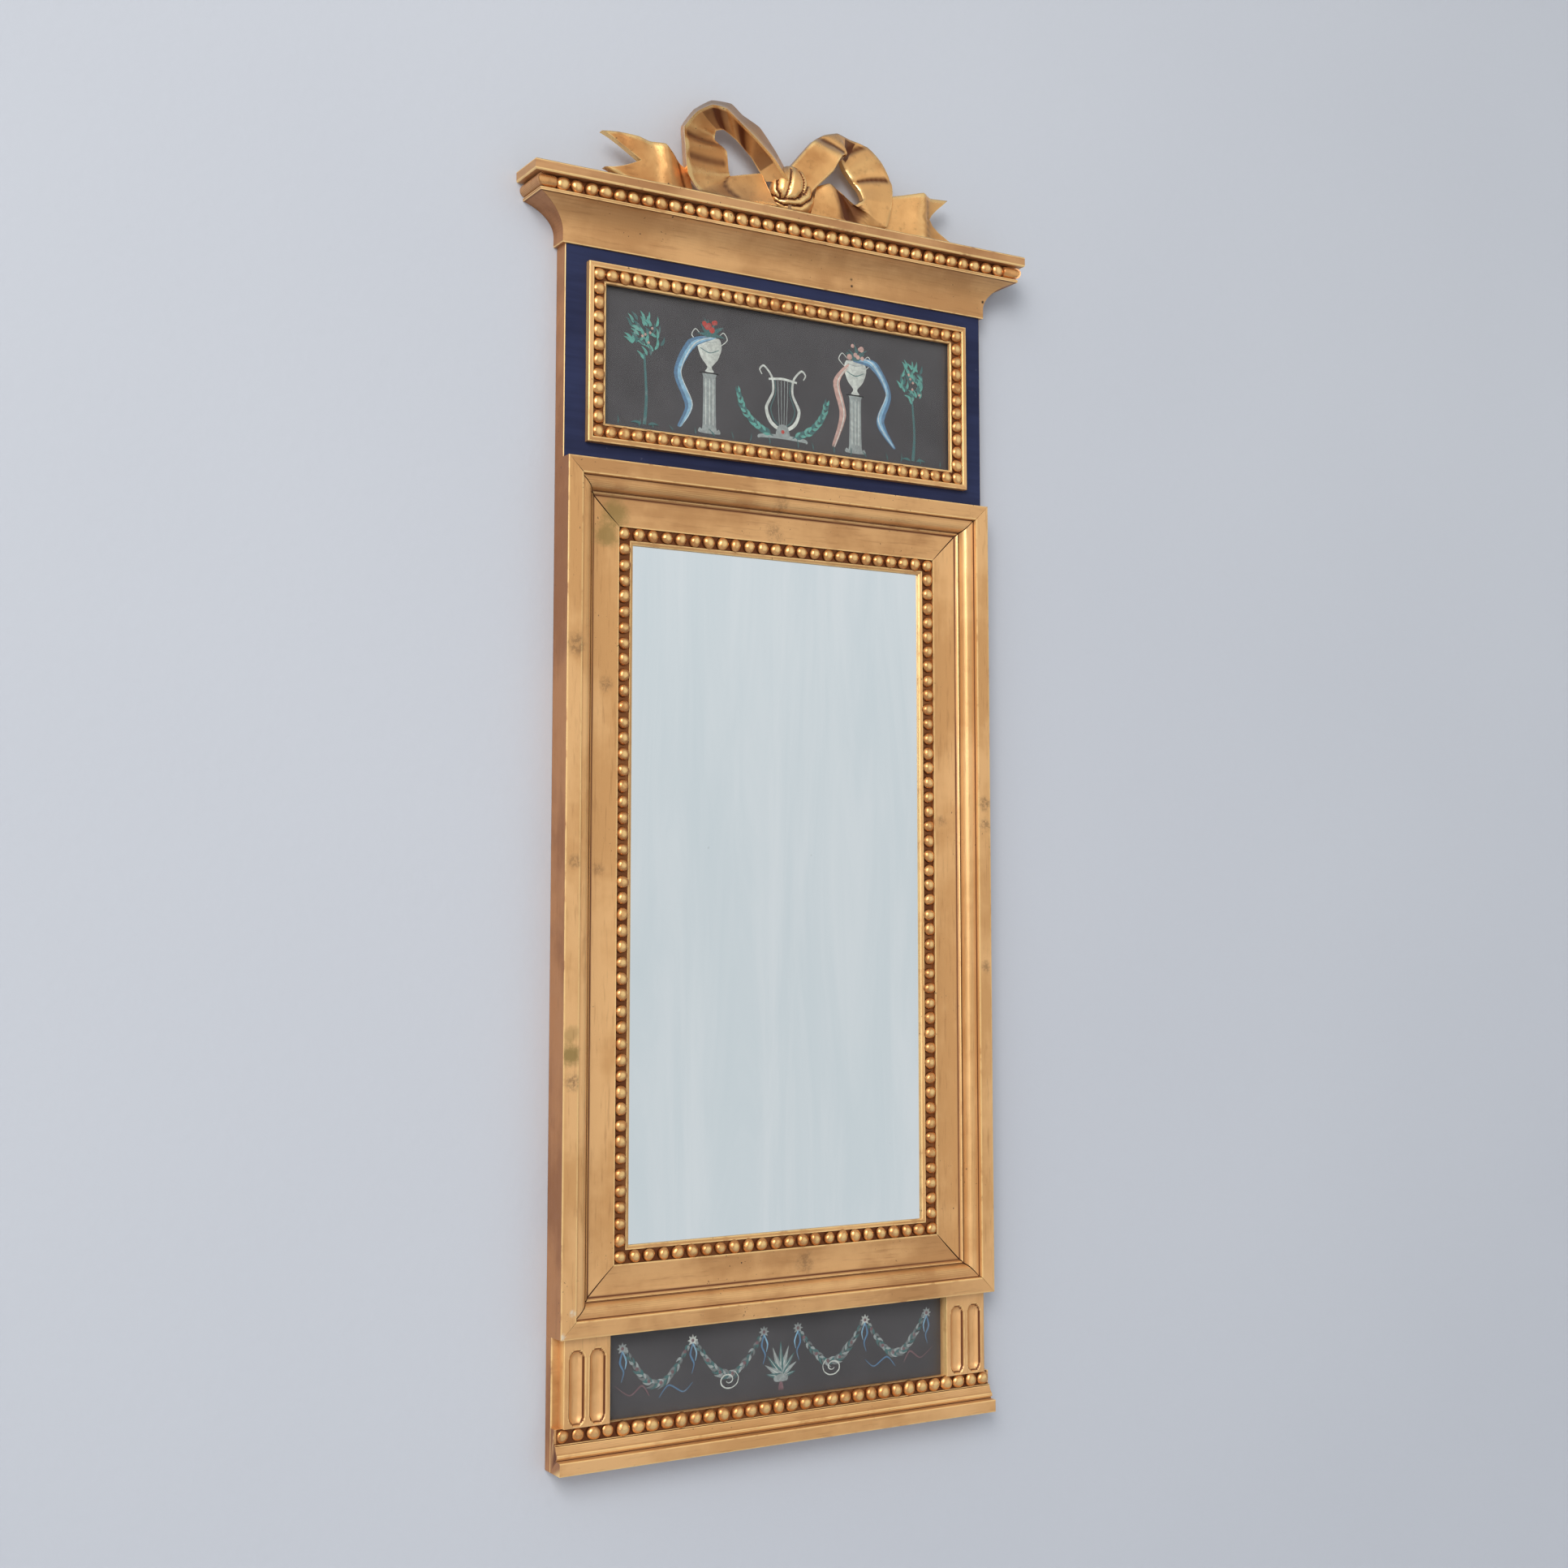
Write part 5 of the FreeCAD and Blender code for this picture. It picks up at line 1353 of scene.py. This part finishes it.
def spray(paint, line, leaf, width, colour, dim):
    """A bending stem with pairs of leaves."""
    paint.stroke(line, (0.9, 0.8, 0.5), dim)
    count = len(line) * 3
    for number in range(1, count):
        here, angle = heading(line, (len(line) - 1) * number / count)
        size = leaf * (1.05 - 0.45 * number / count)
        for sign in (-1, 1):
            shade = colour if (number + sign) % 3 else dim
            paint.leaf(here, angle + sign * random.uniform(38, 56), size, width, shade, -0.5 * sign)


def make_frieze_painting():
    """A quiet classical still life: urns on stands, a lyre, garlands of cloth and little trees."""
    panel, back, front = (320.8, 112.8), 11.5, 12.3
    paint = Painting(FRIEZE_MIDDLE, front)
    low = -panel[1] / 2 + 8

    def placed(*pairs, sign=1):
        return [(sign * a, low + b) for a, b in pairs]

    for x, size in ((-122, 1.25), (124, 1.15)):
        tree(paint, x, low, size)
    for x in (-66, 68):
        urn(paint, x, low, 1.3)
    cloth(
        paint, placed((-62, 76), (-82, 68), (-94, 44), (-84, 20), (-93, 2)),
        (0, 0, (2, 8, 6, 7, 2), SKY_DIM), (1.5, 0, (1, 4, 3, 4, 1), SKY),
        (3, 1, (0.3, 0.9, 0.6, 0.8, 0.3), CHALK),
    )
    cloth(
        paint, placed((66, 76), (86, 74), (100, 52), (92, 28), (106, 8)),
        (0, 0, (2, 8, 5, 8, 2), SKY_DIM), (-1, 1, (1, 4, 2.4, 4, 1), SKY),
        (-2, 2, (0.3, 0.8, 0.5, 0.8, 0.3), CHALK),
    )
    scarf = placed((62, 72), (50, 56), (56, 30), (47, 3))
    paint.stroke(scarf, (2, 6, 6, 3), ROSE, 0.25)
    cloth(paint, scarf, (1.2, 0, (0.4, 1.0, 0.8, 0.5), CHALK))
    top_lift = paint.lift
    for x, tint in ((-66, RED), (68, ROSE)):
        paint.lift = top_lift
        for number in range(9):
            length, bend = random.uniform(10, 16), random.uniform(-0.4, 0.4)
            paint.leaf((x, low + 76), 20 + number * 17.5, length, 2.6, TEAL_DIM, bend)
        for number in range(7):
            spot = (x + random.uniform(-7, 7), low + 80 + random.uniform(-2, 9))
            paint.dot(*spot, random.uniform(1.6, 2.6), tint)
    paint.lift = 0.0
    foot = placed((-22, 2), (-20, 4), (0, 5), (20, 4), (22, 2))
    paint.stroke(foot, (1, 3, 3.4, 3, 1), GREY)
    arm = ((2, 10), (11, 16), (15, 27), (9, 40), (10, 52), (17, 60), (21, 57), (19, 53))
    inner = ((2, 13), (8, 18), (11, 27), (6.5, 40), (7.5, 52))
    for sign in (-1, 1):
        widths = (2.6, 3, 2.6, 2, 1.8, 1.6, 1.3, 0.8)
        paint.stroke(placed(*arm, sign=sign), widths, CHALK, 0.1)
        paint.stroke(placed(*inner, sign=sign), (0.6, 0.7, 0.7, 0.6, 0.4), TEAL_DIM)
    paint.stroke(placed((-13, 50), (0, 51.5), (13, 50)), (1.6, 2.0, 1.6), CHALK)
    for a in (-4.5, -1.5, 1.5, 4.5):
        paint.stroke(placed((a * 0.7, 14), (a * 0.9, 32), (a, 50)), (0.45, 0.5, 0.45), GREY)
    paint.patch(placed((-6, 5), (6, 5), (4.5, 13), (0, 15), (-4.5, 13)), GREY)
    paint.dot(0, low + 9, 1.6, RED)
    top_lift = paint.lift
    for sign in (-1, 1):
        paint.lift = top_lift
        stem = placed((9, 5), (24, 12), (36, 24), (41, 38), sign=sign)
        spray(paint, stem, 8, 2.4, TEAL, TEAL_DIM)
        for number in range(9):
            x = sign * (12 + number * 17) + random.uniform(-4, 4)
            angle = 60 + random.uniform(0, 60)
            paint.leaf((x, low - 2), angle, random.uniform(4, 8), 1.1, TEAL_DIM, 0.3)
    make_panel("frieze_picture", panel, FRIEZE_MIDDLE, back, front)
    paint.finish("frieze_painting")


def make_panel(node, size, middle, back, front):
    """A thin painted board."""
    def ring(y, inset=0.0):
        wide, tall = size[0] / 2 - inset, size[1] / 2 - inset
        return loop(-wide, wide, middle - tall, middle + tall, lambda x, z: (x, -y, z))

    loops = [ring(back), ring(front - 0.1), ring(front, 0.1)]
    shell(node, "ground", loops, (0.0,) * 3, (0,) * 4, [PANEL], "painted_panel")


def make_base_painting():
    """Festoons of leaves hung from rosettes round a palmette, in the frieze's colours."""
    low, high = BASE_TOP, -FRAME_EDGE
    middle, back, front = (low + high) / 2, 9.0, 9.3
    paint = Painting(middle, front)
    for number in range(-4, 5):
        angle, bend = 90 + number * 21, -0.02 * number
        size = 21 - abs(number) * 1.7
        foot = (number * 1.1, -17)
        paint.leaf(foot, angle, size * 1.25, 4.6, TEAL_DIM if number % 2 == 0 else GREY, bend)
        paint.leaf(foot, angle, size * 1.1, 0.8, CHALK, bend)
    paint.patch([(-5, -20), (5, -20), (6, -16.5), (0, -14.5), (-6, -16.5)], GREY)
    for number in range(5):
        paint.leaf((0, -20), 250 + number * 10, 7, 1.8, ROSE_DIM)
    for sign in (-1, 1):

        def line(*pairs):
            return [(sign * a, b) for a, b in pairs]

        for start, end in ((16, 74), (78, 132)):
            festoon(paint, line(*(
                (start + (end - start) * part, 17 - 27 * math.sin(part * math.pi))
                for part in (0, 0.2, 0.4, 0.6, 0.8, 1.0)
            )))
        for x in (15, 76, 134):
            paint.lift = 0.5
            for number in range(8):
                paint.leaf((sign * x, 18), number * 45, 4.4, 2.3, CHALK if x == 76 else GREY)
            paint.dot(sign * x, 18, 1.3, ROSE_DIM)
            ribbon = line((x, 16), (x + 2, 8), (x - 1, 1), (x + 1, -6))
            paint.stroke(ribbon, (1.2, 1.6, 1.2, 0.3), SKY_DIM)
            paint.stroke(line((x, 16), (x - 3, 9), (x - 2, 3)), (1.0, 1.3, 0.3), SKY)
        curl = []
        for step in range(15):
            turn = step / 14 * 4.4 * math.pi / 1.4
            curl.append(around(46, -14, turn + 2.2, 9.5 * (1 - step / 17), 0.8))
        paint.stroke(line(*curl), (0.5, 1.1, 1.0, 0.5), CHALK)
        ribbon = line((112, -18), (118, -10), (128, -16), (140, -8))
        paint.stroke(ribbon, (0.4, 1.4, 1.0, 0.3), ROSE_DIM, 0.3)
        ribbon = line((104, -20), (96, -12), (84, -18), (76, -12))
        paint.stroke(ribbon, (0.4, 1.2, 1.0, 0.3), SKY_DIM)
    make_panel("base_picture", (299.8, high - low), middle, back, front)
    paint.finish("base_painting")


def festoon(paint, line):
    """A hanging rope of leaves, fullest in its middle, with a few blossoms."""
    paint.lift = 0.0
    paint.stroke(line, (0.8, 1.0, 0.8), TEAL_DIM)
    steps = 22
    for number in range(1, steps):
        here, angle = heading(line, 5 * number / steps)
        swell = 3.2 + 4.6 * math.sin(math.pi * number / steps)
        for side in (-1, 1):
            shade = (TEAL_DIM, GREY_DIM, GREY)[(number + side) % 3]
            paint.leaf(here, angle + side * random.uniform(35, 60), swell, 2.1, shade, -0.5 * side)
        if number % 4 == 2:
            paint.dot(*here, 1.4, ROSE_DIM)


def dress(node, material):
    """Give a CAD node a material."""
    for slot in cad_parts[node].material_slots:
        slot.material = material


# ---------------------------------------------------------------- put together

make_frame()
frame_sides = turned(FRAME_WIDTH, FRAME_HEIGHT, 0.0, 0.0)
pearl_strings("frame", frame_sides, 52.2, 4.7, 10.4, (24, 44), 4.9, 4.2)
make_frieze()
make_cornice()
make_base()
make_left_loop()
make_right_loop()
make_tails()
make_knot()
make_frieze_painting()
make_base_painting()
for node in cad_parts:
    if node.startswith("hanger") or node == "backboard_brads":
        dress(node, IRON)
for node in ("mirror_backboard", "frieze_tongue", "base_tongue", "bow_pegs"):
    dress(node, WOOD_TALL)
dress("mirror_glass", SILVER)
for node in ("frieze_glass", "base_glass"):
    dress(node, GLASS)


# ---------------------------------------------------------------- studio


def wall_material():
    """Plain painted wall, seen and casting back light only from its front."""
    shader = Shader("pale_wall")
    plaster = shader.noise(130.0, 5.0, 0.6)
    colour = shader.mix(shader.noise(1.6, 2.0, 0.5), srgb(183, 186, 193), srgb(193, 196, 202))
    paint = shader.body(colour, 0.9, shader.bump(plaster, 0.25, 0.001))
    clear = shader.node("ShaderNodeBsdfTransparent")
    behind = shader.node("ShaderNodeNewGeometry").outputs["Backfacing"]
    shadow = shader.node("ShaderNodeLightPath").outputs["Is Shadow Ray"]
    return shader.blend(shader.math("MAXIMUM", behind, shadow), paint, clear)


def stage_plane(name, corners, material):
    """A plane of the room, which isn't part of the object."""
    mesh = bpy.data.meshes.new(name)
    mesh.from_pydata(corners, [], [(0, 1, 2, 3)])
    mesh.materials.append(material)
    plane = bpy.data.objects.new(name, mesh)
    bpy.context.scene.collection.objects.link(plane)


WALL = wall_material()
FLOOR = -1.5
wall_corners = ((-6, FLOOR), (6, FLOOR), (6, 4), (-6, 4))
floor_corners = ((-6, -3), (6, -3), (6, 6), (-6, 6))
stage_plane("wall", [(x, 0.0005, z) for x, z in wall_corners], WALL)
stage_plane("floor", [(x, y, FLOOR) for x, y in floor_corners], WALL)


def area_light(name, place, target, size, power, colour=(1, 1, 1)):
    """A rectangular light in metres and watts that looks at a target."""
    data = bpy.data.lights.new(name, "AREA")
    data.shape = "RECTANGLE"
    data.size, data.size_y = size
    data.energy = power
    data.color = colour
    light = bpy.data.objects.new(name, data)
    light.location = place
    aim = Vector(target) - Vector(place)
    light.rotation_euler = aim.to_track_quat("-Z", "Y").to_euler()
    bpy.context.scene.collection.objects.link(light)


area_light("key", (-1.9, -2.6, 1.3), (0, 0, -0.1), (1.3, 1.6), 58, (1.0, 0.985, 0.96))
area_light("back", (0.6, 2.6, 0.8), (0, 0, -0.2), (2.0, 2.0), 30)

# Soft light from three directions over an even level. The camera sees an even backdrop instead.
SKY_COLOUR, SKY_LEVEL, BACKDROP_LEVEL = (0.96, 0.98, 1.0, 1), 0.36, 0.72
# Direction, the cosines where a lobe starts and is full, and its strength.
LOBES = [
    ((0.50, -0.86, 0.03), 0.78, 0.96, 0.42),
    ((-0.66, -0.66, 0.36), 0.76, 0.97, 1.55),
    ((0.0, -0.30, 0.95), 0.20, 0.95, 0.22),
]
world = bpy.data.worlds.new("studio")
bpy.context.scene.world = world
room = Nodes(world)
sky = room.nodes["Background"]
sky.inputs[0].default_value = SKY_COLOUR
toward = room.node("ShaderNodeTexCoord").outputs["Generated"]
level = SKY_LEVEL
for direction, fade, full, strength in LOBES:
    values = {0: toward, 1: Vector(direction).normalized()}
    facing = room.node("ShaderNodeVectorMath", values, operation="DOT_PRODUCT").outputs["Value"]
    level = room.plus(room.ramp(facing, fade, full, strength), level)
seen = room.node("ShaderNodeLightPath").outputs["Is Camera Ray"]
chosen = room.node("ShaderNodeMix", {0: seen, 2: level, 3: BACKDROP_LEVEL})
room.links.new(chosen.outputs[0], sky.inputs[1])

# The camera fitted to the object's straight edges: its place in metres from the frame's centre,
# and how many degrees it looks up and to the right.
CAMERA_PLACE, CAMERA_UP, CAMERA_RIGHT = (-0.8166, -1.3797, -0.0210), 5.04, 30.88
camera_data = bpy.data.cameras.new("camera")
camera_data.lens = 47.23
camera_data.sensor_width = 36.0
camera_data.shift_y = -0.0299
camera = bpy.data.objects.new("camera", camera_data)
camera.location = (*CAMERA_PLACE[:2], CAMERA_PLACE[2] - RISE / 1000)
camera.rotation_euler = (math.radians(90 + CAMERA_UP), 0, math.radians(-CAMERA_RIGHT))
bpy.context.scene.collection.objects.link(camera)
bpy.context.scene.camera = camera
bpy.context.scene.view_settings.view_transform = "Standard"
